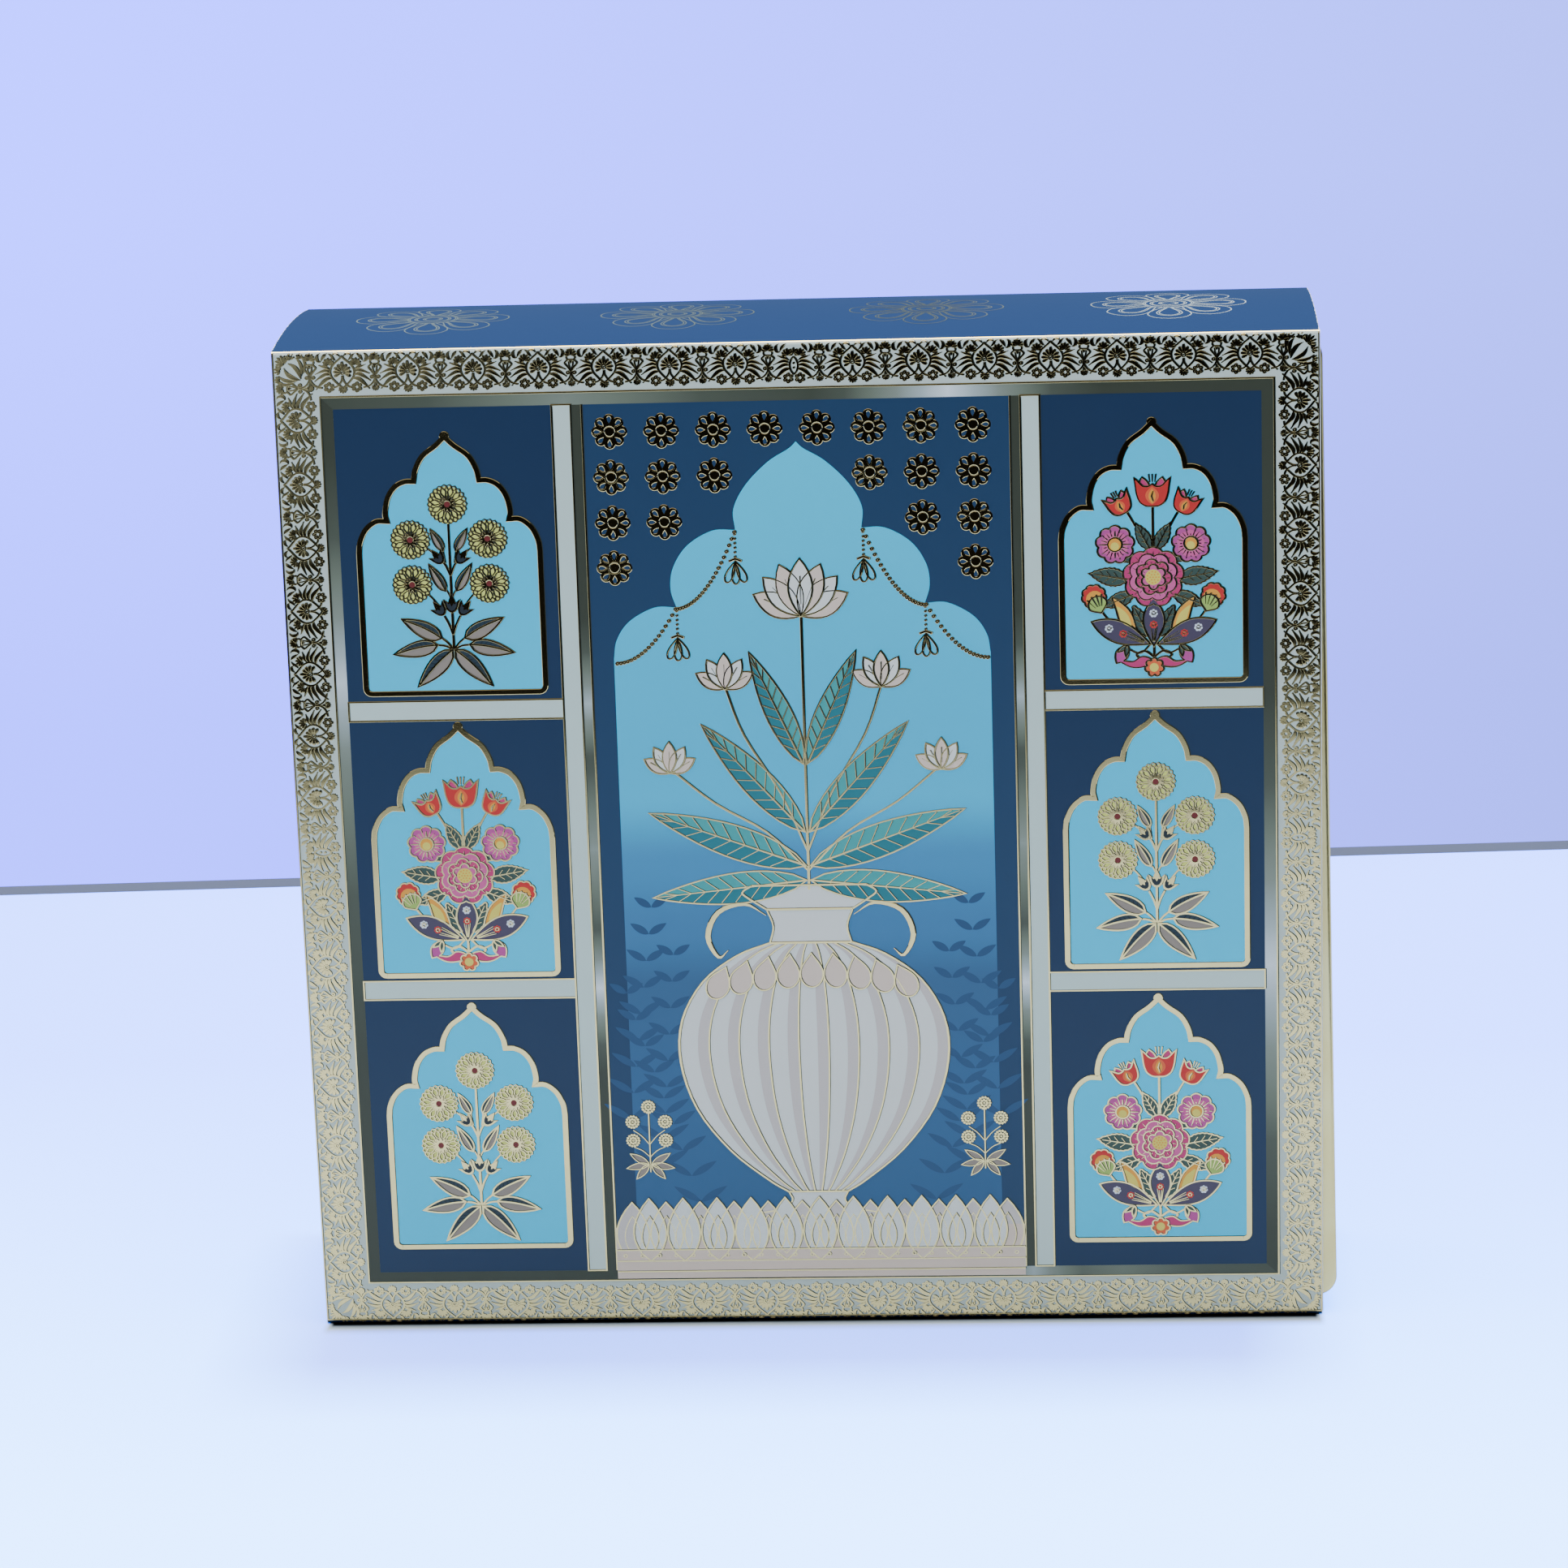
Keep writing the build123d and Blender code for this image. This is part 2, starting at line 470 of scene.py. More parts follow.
# Materials
class Nodes:
    """Short ways to add the nodes of a shader and to join them."""

    def __init__(self, tree):
        self.tree = tree

    def add(self, kind, settings=None, **inputs):
        """A new node with its settings, and with its inputs set or joined."""
        node = self.tree.nodes.new(kind)
        for name, value in (settings or {}).items():
            setattr(node, name, value)
        for name, value in inputs.items():
            self.join(node.inputs[name], value)
        return node

    def join(self, socket, value):
        """Links an output to the socket, or sets the socket to a value."""
        if isinstance(value, bpy.types.NodeSocket):
            self.tree.links.new(value, socket)
        else:
            socket.default_value = value

    def math(self, operation, a, b=0.0):
        node = self.add("ShaderNodeMath", {"operation": operation})
        self.join(node.inputs[0], a)
        self.join(node.inputs[1], b)
        return node.outputs[0]

    def off(self, value, centre):
        """How far the value is from the centre, on either side."""
        return self.math("ABSOLUTE", self.math("SUBTRACT", value, centre))

    def level(self, value, start, end):
        """0 where the value is at start and 1 where it is at end."""
        node = self.add("ShaderNodeMapRange", Value=value)
        node.inputs["From Min"].default_value = start
        node.inputs["From Max"].default_value = end
        return node.outputs[0]

    def mix(self, share, a, b, blend="MIX"):
        """The colour a, blended with b by the share."""
        how = {"data_type": "RGBA", "blend_type": blend}
        return self.add("ShaderNodeMix", how, Factor=share, A=a, B=b).outputs["Result"]


class MaterialNodes(Nodes):
    """A new material, with positions on the object in millimetres."""

    def __init__(self, name):
        self.material = bpy.data.materials.new(name)
        self.material.use_nodes = True
        super().__init__(self.material.node_tree)
        self.shader = self.tree.nodes["Principled BSDF"]
        on_object = self.add("ShaderNodeTexCoord").outputs["Object"]
        scaled = self.add("ShaderNodeVectorMath", {"operation": "SCALE"}, Scale=1 / MM)
        self.join(scaled.inputs[0], on_object)
        self.place = scaled.outputs[0]

    def noise(self, scale, detail=3.0, roughness=0.5):
        """Soft noise from 0 to 1; a scale of 1 is about one spot to a millimetre."""
        how = {"Scale": scale, "Detail": detail, "Roughness": roughness}
        return self.add("ShaderNodeTexNoise", Vector=self.place, **how).outputs["Fac"]

    def ramp(self, value, stops, way="EASE"):
        """A ramp through (position, colour) stops."""
        node = self.add("ShaderNodeValToRGB", Fac=value)
        node.color_ramp.interpolation = way
        elements = node.color_ramp.elements
        while len(elements) < len(stops):
            elements.new(0.5)
        for element, (position, colour) in zip(elements, stops):
            element.position = position
            element.color = colour
        return node.outputs["Color"]

    def axis(self, name):
        """The place along X, Y or Z, in millimetres."""
        return self.add("ShaderNodeSeparateXYZ", Vector=self.place).outputs[name]

    def bump(self, height, distance):
        """Bumps that are the distance tall, in millimetres."""
        node = self.add("ShaderNodeBump", Height=height, Distance=distance * MM, Strength=1.0)
        self.join(self.shader.inputs["Normal"], node.outputs[0])

    def set(self, **inputs):
        """Sets or joins inputs of the shader; an underscore stands for a space."""
        for name, value in inputs.items():
            self.join(self.shader.inputs[name.replace("_", " ")], value)


def rgb(red, green, blue):
    """A screen colour from 0 to 255 as the linear colour that the shaders take."""
    linear = []
    for value in (red, green, blue):
        share = value / 255
        linear.append(share / 12.92 if share <= 0.04045 else ((share + 0.055) / 1.055) ** 2.4)
    return (*linear, 1.0)


# Print: how far its worn edge reaches, the screen's pitch and depth, and slow mottling
WEAR_REACH = 0.28
WORN_BOARD = (232, 234, 236)
HALFTONE = 1.27
HALFTONE_DEPTH = 0.11
SCREEN_TINT = (0.7, 0.74, 0.84, 1)
MOTTLE_DEPTH = 0.16
MOTTLE_TINT = (0.8, 0.82, 0.86, 1)
FOIL_TINT = (0.86, 0.87, 0.9, 1)
FIBRE_TINT = (0.72, 0.7, 0.68, 1)
SPECKS = (120, 112, 104)


def printed(nodes, colour, strength=1.0):
    """Offset print: a diagonal screen, slow mottling and board worn white at the cut ends."""
    dots = 0.0
    for way in ((1, 1, 1), (-1, 1, 1)):
        turned = nodes.add("ShaderNodeVectorMath", {"operation": "MULTIPLY"})
        nodes.join(turned.inputs[0], nodes.place)
        turned.inputs[1].default_value = way
        wave = nodes.add(
            "ShaderNodeTexWave",
            {"wave_type": "BANDS", "bands_direction": "DIAGONAL"},
            Vector=turned.outputs[0],
            Scale=HALFTONE,
            Distortion=0.4,
        )
        dots = nodes.math("ADD", dots, wave.outputs["Fac"])
    screen_share = nodes.math("MULTIPLY", dots, HALFTONE_DEPTH * strength)
    shaded = nodes.mix(screen_share, colour, SCREEN_TINT, "MULTIPLY")
    mottle = nodes.math("MULTIPLY", nodes.noise(0.12, 4.0), MOTTLE_DEPTH * strength)
    shaded = nodes.mix(mottle, shaded, MOTTLE_TINT, "MULTIPLY")
    across = nodes.off(nodes.axis("X"), MIDDLE_X)
    frayed = nodes.math("MULTIPLY", nodes.noise(0.9, 4.0, 0.7), 2 * WEAR_REACH)
    reach = nodes.math("ADD", across, frayed)
    worn = nodes.level(reach, HALF - 0.02 + WEAR_REACH / 2, HALF + WEAR_REACH)
    return nodes.mix(worn, shaded, rgb(*WORN_BOARD))


def laminated(nodes, colour, roughness=0.42, gloss=0.4):
    """The material with a printed colour under a satin laminate that shows the board's grain."""
    nodes.set(Base_Color=printed(nodes, colour), Roughness=roughness, Specular_IOR_Level=gloss)
    nodes.bump(nodes.noise(5.0, 5.0, 0.6), 0.012)
    return nodes.material


def ink(name, colour, roughness=0.42, gloss=0.4):
    """A printed colour."""
    return laminated(MaterialNodes(name), rgb(*colour), roughness, gloss)


def shaded_ink(name, axis, stops):
    """A colour that changes along an axis: print for the sky, painted reflection for the top
    flowers' foil lines; stops are (millimetres, colour) in order.
    """
    nodes = MaterialNodes(name)
    first, last = stops[0][0], stops[-1][0]
    share = nodes.level(nodes.axis(axis), first, last)
    places = [((at - first) / (last - first), rgb(*colour)) for at, colour in stops]
    return laminated(nodes, nodes.ramp(share, places))


# Colours of a printed metal band, from where it is dull to the middle of a gleam
BAND_TONES = (
    (0.0, (64, 68, 54)),
    (0.33, (84, 90, 76)),
    (0.5, (118, 126, 108)),
    (0.67, (142, 150, 136)),
    (0.83, (184, 196, 194)),
    (1.0, (246, 252, 255)),
)


def gleaming_ink(name, axis, gleams):
    """A printed metal band: dull olive with soft gleams, each (place, spread, strength)."""
    nodes = MaterialNodes(name)
    along = nodes.axis(axis)
    bright = 0.0
    for centre, spread, strength in gleams:
        near = nodes.level(nodes.off(along, centre), spread, 0.0)
        bright = nodes.math("MAXIMUM", bright, nodes.math("MULTIPLY", near, strength))
    tone = nodes.ramp(bright, [(at, rgb(*colour)) for at, colour in BAND_TONES], "LINEAR")
    nodes.set(Base_Color=printed(nodes, tone, 2.0), Roughness=0.38, Specular_IOR_Level=0.4)
    nodes.bump(nodes.noise(6.0, 5.0, 0.7), 0.015)
    return nodes.material


def foil(name, colour, roughness, crinkle):
    """Hot-stamped metal foil, with the board's grain showing through."""
    nodes = MaterialNodes(name)
    dull = nodes.mix(nodes.noise(0.4, 4.0), rgb(*colour), FOIL_TINT, "MULTIPLY")
    nodes.set(Base_Color=dull, Metallic=1.0, Roughness=roughness)
    nodes.bump(nodes.noise(4.0, 5.0, 0.6), crinkle)
    return nodes.material


def raw_board(name, colour, scale=1.0):
    """Uncoated paperboard: short fibres and small specks."""
    nodes = MaterialNodes(name)
    fibre = nodes.noise(1.6 * scale, 8.0, 0.75)
    tone = nodes.mix(fibre, rgb(*colour), FIBRE_TINT, "MULTIPLY")
    specks = nodes.level(nodes.noise(3.5 * scale, 2.0), 0.7, 0.78)
    tone = nodes.mix(nodes.math("MULTIPLY", specks, 0.35), tone, rgb(*SPECKS))
    nodes.set(Base_Color=tone, Roughness=0.88, Specular_IOR_Level=0.25)
    nodes.bump(fibre, 0.05)
    return nodes.material


def gold_film(name):
    """The tray's vacuum-formed satin gold plastic, slowly changing in tone."""
    nodes = MaterialNodes(name)
    flow = nodes.noise(0.05, 4.0, 0.55)
    tone = nodes.ramp(flow, [(0.3, rgb(*FILM_DEEP)), (0.7, rgb(*FILM_PALE))])
    nodes.set(Base_Color=tone, Metallic=1.0, Roughness=0.3)
    nodes.bump(nodes.noise(1.2, 6.0, 0.6), 0.02)
    return nodes.material


# Colours as printed, before the light on them; the last one is painted shadow beside the foil, not
# an ink
PLAIN_INKS = {
    "cream": (210, 228, 220),
    "navy": (22, 49, 82),
    "navy_deep": (29, 62, 96),
    "cyan": (20, 214, 255),
    "yellow": (228, 228, 116),
    "brick": (120, 40, 40),
    "leaf_grey": (154, 140, 128),
    "leaf_dark": (38, 56, 68),
    "leaf_vein": (22, 30, 38),
    "bell_dark": (38, 46, 54),
    "leaf_green": (62, 84, 76),
    "magenta": (196, 78, 150),
    "pink": (222, 96, 154),
    "rose": (206, 58, 116),
    "red": (212, 48, 44),
    "orange": (246, 166, 56),
    "coral": (238, 104, 56),
    "gold_yellow": (240, 218, 96),
    "lime": (168, 196, 96),
    "plum": (80, 70, 92),
    "white": (232, 236, 246),
    "teal": (60, 168, 168),
    "teal_dark": (36, 124, 136),
    "ivory": (238, 238, 232),
    "ivory_shade": (218, 206, 200),
    "beige": (236, 212, 194),
    "dusk": (40, 80, 120),
    # Painted shadow beside the stamped foil, not a printed ink
    "painted_foil_shadow": (44, 50, 40),
}
PALE_GROUND = (205, 216, 207)
WALL_BLUE = (28, 50, 86)
FOIL_GOLD = (250, 225, 158)
INSIDE_BOARD = (206, 202, 194)
CUT_BOARD = (226, 224, 218)
GREASEPROOF = (238, 234, 222)
STRAWBOARD = (228, 206, 150)
FILM_DEEP = (244, 222, 150)
FILM_PALE = (255, 240, 178)

# Colours that change along the box, by millimetre, and the gleams of the printed metal bands
SKY = (
    (10, (44, 92, 134)),
    (50, (50, 99, 143)),
    (72, (53, 99, 140)),
    (84, (61, 124, 172)),
    (98, (62, 144, 194)),
    (112, (44, 198, 242)),
    (190, (34, 217, 255)),
)
# Painted reflection of the top flowers' foil lines: their tone along the wall, darkest right of
# the middle and bright at the right end
TOP_LINE_PAINTED_REFLECTION = (
    (-100, (92, 106, 106)),
    (-55, (86, 98, 92)),
    (-10, (74, 84, 72)),
    (22, (62, 68, 52)),
    (48, (84, 90, 80)),
    (62, (138, 150, 152)),
    (100, (164, 176, 182)),
)
BANDS = {
    "band_top": ("X", [(28.5, 30, 1.0), (-46.5, 60, 0.6)]),
    "band_bottom": ("X", [(42, 20, 0.8), (60, 45, 0.5)]),
    "band_left": ("Z", [(136, 45, 0.95), (120, 62, 0.6)]),
    "band_right": ("Z", [(75, 56, 0.97)]),
    "band_strip": ("Z", [(131, 17, 0.85), (101, 30, 0.7), (72, 18, 1.0)]),
}

INKS = {name: ink(f"print_{name}", colour) for name, colour in PLAIN_INKS.items()}
INKS |= {name: gleaming_ink(f"print_{name}", *look) for name, look in BANDS.items()}
INKS["ground"] = ink("print_pale_ground", PALE_GROUND)
INKS["sky"] = shaded_ink("print_sky", "Z", SKY)
# The top flowers' foil lines as ink, with painted reflection along the wall
INKS["painted_reflection_line"] = shaded_ink("top_foil_lines_painted_reflection", "X", TOP_LINE_PAINTED_REFLECTION)
INKS["foil"] = foil("gold_foil", FOIL_GOLD, 0.06, 0.003)


# Carton: the folded board itself, in place of the sleeve's plain solid
OUTER_FACE, INNER_FACE, CUT_EDGE = range(3)
STATIONS = 35


def tube(wrap):
    """Points, faces and the side of each face of the board, open at its left and right ends."""
    outer = wrap.points[:-1]
    inner = outer - wrap.normal[:-1] * BOARD
    count = len(outer)
    points = []
    for across in np.linspace(-HALF, HALF, STATIONS):
        points += [(MIDDLE_X + across, y, z) for y, z in np.vstack([outer, inner])]
    around = [(i, (i + 1) % count) for i in range(count)]
    faces, sides = [], []
    for s in range(STATIONS - 1):
        here, there = s * 2 * count, (s + 1) * 2 * count
        for i, j in around:
            faces.append((here + i, here + j, there + j, there + i))
            k, m = i + count, j + count
            faces.append((here + m, here + k, there + k, there + m))
            sides += [OUTER_FACE, INNER_FACE]
    end = (STATIONS - 1) * 2 * count
    for i, j in around:
        faces.append((i, count + i, count + j, j))
        faces.append((end + j, end + count + j, end + count + i, end + i))
        sides += [CUT_EDGE, CUT_EDGE]
    return points, faces, sides


def glue_flap_points():
    """The flap inside the back wall: four corners on the wall, then four on its free face."""
    flat = [
        (-HALF, BOARD),
        (HALF, BOARD),
        (HALF - GLUE_FLAP_MITRE, BOARD + GLUE_FLAP),
        (GLUE_FLAP_MITRE - HALF, BOARD + GLUE_FLAP),
    ]
    return [(MIDDLE_X + x, y, z) for y in (BACK_Y - BOARD, BACK_Y - 2 * BOARD) for x, z in flat]


FLAP_FACES = ((3, 2, 1, 0), (4, 5, 6, 7), (0, 1, 5, 4), (2, 3, 7, 6), (1, 2, 6, 5), (3, 0, 4, 7))


def carton(wrap):
    """The sleeve's board with its glue flap: printed outside, plain inside and cut at its ends."""
    points, faces, sides = tube(wrap)
    start = len(points)
    points += glue_flap_points()
    faces += [tuple(start + i for i in face) for face in FLAP_FACES]
    sides += [INNER_FACE] * 2 + [CUT_EDGE] * 4
    materials = [
        ink("print_wall_blue", WALL_BLUE, 0.5, 0.05),
        raw_board("inside_board", INSIDE_BOARD),
        raw_board("cut_board", CUT_BOARD, 3.0),
    ]
    points = np.array(points) * MM
    piece = mesh_object("sleeve_carton", points, faces, materials, sides, smooth=True)
    piece.data.set_sharp_from_angle(angle=math.radians(30))
    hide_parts("sleeve")
    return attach(piece, "sleeve")


# Front layout, measured from the middle of the sleeve and up from its foot
FRAME_LEFT, FRAME_RIGHT, FRAME_BOTTOM, FRAME_TOP = -92.8, 93.2, 9.0, 193.4
PRINT_FOOT = 0.75
PRINT_HEAD = HEIGHT + 0.1
BAND = 2.45
FIELD_LEFT, FIELD_RIGHT = FRAME_LEFT + BAND, FRAME_RIGHT - BAND
FIELD_BOTTOM, FIELD_TOP = FRAME_BOTTOM + BAND - 0.2, FRAME_TOP - BAND
POST = 3.75
STRIP = 2.0
LEFT_POST = -47.45
RIGHT_POST = 44.0
LEFT_STRIP = LEFT_POST + POST + 0.15
RIGHT_STRIP = RIGHT_POST - STRIP
SHELVES = (70.1, 128.1)
SHELF = 3.9
PANEL_MIDDLE = (LEFT_STRIP + STRIP + RIGHT_STRIP) / 2


def rectangle(left, bottom, right, top):
    """The four corners, anticlockwise."""
    return np.array([(left, bottom), (right, bottom), (right, top), (left, top)], float)


def front_fields(wrap):
    """The pale ground, navy fields, cream posts and shelves, and the olive metal bands."""
    sheet = Print()
    sheet.fill("ground", rectangle(-HALF, PRINT_FOOT, HALF, PRINT_HEAD), base=GROUND / 2)
    left, right = LEFT_POST + POST, RIGHT_POST
    for ink_name, start, end in (
        ("navy", FIELD_LEFT, left), ("navy_deep", left, right), ("navy", right, FIELD_RIGHT)
    ):
        sheet.fill(ink_name, rectangle(start, FIELD_BOTTOM, end, FIELD_TOP), base=GROUND)
    outer = rectangle(FRAME_LEFT, FRAME_BOTTOM, FRAME_RIGHT, FRAME_TOP)
    inner = rectangle(FIELD_LEFT, FIELD_BOTTOM, FIELD_RIGHT, FIELD_TOP)
    for name, i in (("bottom", 0), ("right", 1), ("top", 2), ("left", 3)):
        j = (i + 1) % 4
        sheet.fill(f"band_{name}", [outer[i], outer[j], inner[j], inner[i]], base=FIELD)
    for left in (LEFT_POST, RIGHT_POST):
        sheet.fill("cream", rectangle(left, FIELD_BOTTOM, left + POST, FIELD_TOP), base=FIELD)
    for left in (LEFT_STRIP, RIGHT_STRIP):
        strip = rectangle(left, FIELD_BOTTOM, left + STRIP, FIELD_TOP)
        sheet.fill("band_strip", strip, base=FIELD)
    for left, right in ((FIELD_LEFT, LEFT_POST), (RIGHT_POST + POST, FIELD_RIGHT)):
        for bottom in SHELVES:
            sheet.fill("cream", rectangle(left, bottom, right, bottom + SHELF), base=FIELD)
    lay_print("front_print", sheet, wrap)


FINE_LINE = 0.32


def front_lines(wrap):
    """Fine stamped lines around the frame, the posts and the shelves."""
    sheet = Print()
    boxes = [
        rectangle(FRAME_LEFT, FRAME_BOTTOM, FRAME_RIGHT, FRAME_TOP),
        rectangle(LEFT_POST, FIELD_BOTTOM, LEFT_POST + POST, FIELD_TOP),
        rectangle(RIGHT_POST, FIELD_BOTTOM, RIGHT_POST + POST, FIELD_TOP),
    ]
    for left, right in ((FIELD_LEFT, LEFT_POST), (RIGHT_POST + POST, FIELD_RIGHT)):
        boxes += [rectangle(left, bottom, right, bottom + SHELF) for bottom in SHELVES]
    for box in boxes:
        sheet.ring(box, FINE_LINE, base=FIELD + LAYER)
    for x in (LEFT_STRIP + STRIP, RIGHT_STRIP):
        sheet.stamp([(x, FIELD_BOTTOM), (x, FIELD_TOP)], FINE_LINE, base=FIELD + LAYER)
    lay_print("frame_lines", sheet, wrap)


# Border: a band of leaf scrolls and ringed daisies, drawn up from its inner edge
UNIT = 12.857
UNITS_EACH_WAY = 7
CENTRE_HALF = 5.0
SIDE_REACH = CENTRE_HALF + UNITS_EACH_WAY * UNIT
DAISY_HEIGHT = 4.84
EDGING = 0.28
EDGING_HEAD = HEIGHT + 0.15
BORDER_SLOPE = 0.3
BORDER_BEVEL = 0.16
CORNER_REACH = 1.8
CORNER_INSET = 3.5


def blades(at, degrees, count, spread, length, width):
    """Small petals that spread from one point, the middle one the longest."""
    made = []
    for turn in np.linspace(-spread, spread, count):
        reach = length * (1 - 0.25 * (turn / max(spread, 1)) ** 2)
        path = place([(0, 0.1), (0, reach / 2), (0, reach * 0.85), (0, reach)], at, degrees + turn)
        made.append(Line(path, (width * 0.5, width * 0.9, width, width * 0.5)))
    return made


def daisy(at):
    """Nine fat petals round a ring with a dot in it; the stem takes the tenth place."""
    made = []
    for angle in (90, 61, 119, 32, 148, 3, 177, -27, 207):
        reach = 2.1 if angle == 90 else 1.8
        path = place([(0.5, 0), (0.95, 0), (1.45, 0), (reach, 0)], at, angle)
        made.append(Line(path, (0.26, 0.54, 0.7, 0.42)))
    return [*made, bead(at, 0.42, 0.24, 12), bead(at, 0.09, 0.18)]


def small_flower(at):
    """Six round petals about an open eye, each with a small slit."""
    petals = []
    for i in range(6):
        ring = place(circle((0.68, 0), 0.26, 8) * (1, 0.9), at, 60 * i + 30)
        petals.append(Line(ring, 0.32, closed=True))
    return petals


# Leaves beside a ring: the points of each one's middle from the ring outward, and its width
SCROLL_LEAVES = (
    (((2.3, 5.35), (3.1, 5.85), (3.8, 6.0), (4.6, 6.3)), 0.54),
    (((2.35, 4.85), (3.1, 5.25), (4.1, 5.05), (5.4, 4.5)), 0.66),
    (((2.25, 4.35), (3.2, 4.5), (4.3, 3.95), (5.55, 3.1)), 0.72),
    (((1.95, 3.7), (3.1, 3.55), (4.2, 2.65), (5.3, 1.5)), 0.8),
)


def scroll_leaves(shift):
    """Four leaves that sweep away from the ring, on its right side."""
    made = []
    for points, width in SCROLL_LEAVES:
        path = spline(np.array(points) - (shift, 0), 4)
        made.append(Line(path, swell(len(path), width, 0.42, 0.3)))
    return made


def edge_scrolls(shift):
    """A fan between a leaf and a crescent, at the outer edge on the right side of a ring."""
    slant = [(2.9, 8.6), (3.4, 8.2), (3.8, 7.65), (4.15, 7.0)]
    crescent = [(4.1, 6.9), (4.65, 7.1), (4.9, 7.65), (4.75, 8.25), (4.3, 8.65)]
    lines = [blade(slant, 0.62), blade(crescent, 0.66), *blades((2.65, 6.3), -4, 7, 84, 1.45, 0.5)]
    return [line.moved(at=(-shift, 0)) for line in lines]


def ring_unit():
    """A daisy in an ogee ring, with flowers at its foot and leaves on both sides."""
    ring = [
        (0, 8.1), (0.3, 7.65), (1.05, 7.0), (1.8, 6.3), (2.28, 5.5), (2.38, 4.7),
        (2.1, 3.85), (1.5, 3.1), (0.75, 2.35), (0.2, 1.9), (-0.3, 1.65),
    ]
    stem = [(0.06, 4.2), (0.1, 3.5), (0.4, 2.85), (0.8, 2.35), (1.3, 1.98), (1.9, 1.85)]
    tip = [(0.35, 7.9), (0.85, 8.45), (1.5, 8.5), (1.8, 8.1)]
    branch = [(1.2, 7.15), (1.7, 7.6), (2.1, 8.2), (2.7, 8.6)]
    half = [curve(ring, 0.38, 2), curve(stem, 0.36, 2), blade(tip, 0.5), blade(branch, 0.5)]
    half += small_flower((2.75, 1.88)) + scroll_leaves(0) + edge_scrolls(0)
    return daisy((0, DAISY_HEIGHT)) + both_sides(half) + blades((0, 1.8), 180, 7, 84, 1.15, 0.44)


def centre_unit():
    """The narrow unit at the middle of a side: a pointed oval between the same leaves."""
    shift = UNIT / 2 - CENTRE_HALF
    oval = [(0, 6.1), (0.5, 5.45), (0.8, 4.4), (0.58, 3.3), (0, 2.55)]
    half = [curve(oval, 0.36, 3), *small_flower((1.15, 1.88))]
    half += scroll_leaves(shift) + edge_scrolls(shift)
    dots = [bead((0, height), 0.12, 0.24) for height in (3.9, 4.8)]
    return both_sides(half) + dots + blades((0, 6.6), 0, 5, 66, 1.3, 0.44)


def between_unit():
    """The vase of fine lines between two rings."""
    foot = [(0.04, 4.1), (0.12, 3.3), (0.55, 2.6), (1.1, 2.15), (1.8, 1.9), (2.4, 1.8)]
    half = [
        curve([(0, 4.15), (0.6, 4.95), (1.2, 5.7), (0.95, 6.1), (0.6, 6.4)], 0.36, 3),
        curve([(0.6, 6.35), (0.86, 6.8), (0.7, 7.25)], 0.34, 3),
        Line([(0.05, 4.4), (0.36, 5.3), (0.46, 6.1)], 0.26),
        bead((0.62, 3.85), 0.27, 0.3, 8),
        curve(foot, 0.36, 2),
        blade([(0, 7.3), (0.6, 7.3), (1.1, 7.5), (1.5, 7.95)], 0.5),
    ]
    middle = [
        Line([(0, 3.3), (0, 3.75), (0, 4.25)], (0.2, 0.42, 0.3)),
        Line([(0, 2.15), (0, 2.45), (0, 2.95)], (0.66, 0.5, 0.12)),
        Line([(0, 6.3), (0, 6.1), (0, 5.6)], (0.8, 0.6, 0.12)),
        Line([(-0.8, 6.42), (0.8, 6.42)], 0.28),
        *blades((0, 2.05), 180, 7, 80, 0.95, 0.42),
        *blades((0, 7.3), 0, 7, 78, 1.4, 0.52),
    ]
    return both_sides(half) + middle


def corner_spray():
    """Leaves and fans in a corner, drawn about the diagonal with the outer corner below."""
    half = [
        blade([(0.15, 2.9), (0.8, 1.6), (1.0, 0.2), (0.6, -1.1)], 0.86),
        blade([(0.6, 2.6), (1.8, 1.5), (2.4, 0.4), (2.5, -0.7)], 0.7),
        blade([(1.2, 2.5), (2.6, 1.7), (3.4, 0.6), (3.7, -0.5)], 0.56),
        *blades((1.5, -1.2), -150, 5, 70, 1.3, 0.42),
        *blades((2.9, 0.0), -140, 5, 66, 1.1, 0.38),
    ]
    return both_sides(half) + blades((0, -1.5), 180, 7, 74, 1.9, 0.46)


def border_side(name, wrap, middle, inner_edge, degrees, reach):
    """One side of the border. Its units run along the side and stand away from the panel."""
    sheet = Print(BORDER_SLOPE, BORDER_BEVEL)
    stretch = reach / SIDE_REACH
    units = [(centre_unit(), 0.0)]
    for side in (1, -1):
        units.append((between_unit(), side * CENTRE_HALF))
        for n in range(UNITS_EACH_WAY):
            start = CENTRE_HALF + n * UNIT
            units.append((ring_unit(), side * (start + UNIT / 2)))
            units.append((between_unit(), side * (start + UNIT)))
    along = place([(1, 0)], degrees=degrees)[0]
    base = middle + place([(0, inner_edge)], degrees=degrees)[0]
    for lines, offset in units:
        at = base + along * offset * stretch
        sheet.stamps(lines, at, degrees, base=GROUND)
    lay_print(name, sheet, wrap)


def border_edging(wrap):
    """The thin line of foil that runs round the outline of the front."""
    sheet = Print()
    inset = EDGING / 2
    edge = rectangle(inset - HALF, inset + PRINT_FOOT, HALF - inset, EDGING_HEAD - inset)
    sheet.ring(edge, EDGING, base=GROUND)
    lay_print("border_edging", sheet, wrap)


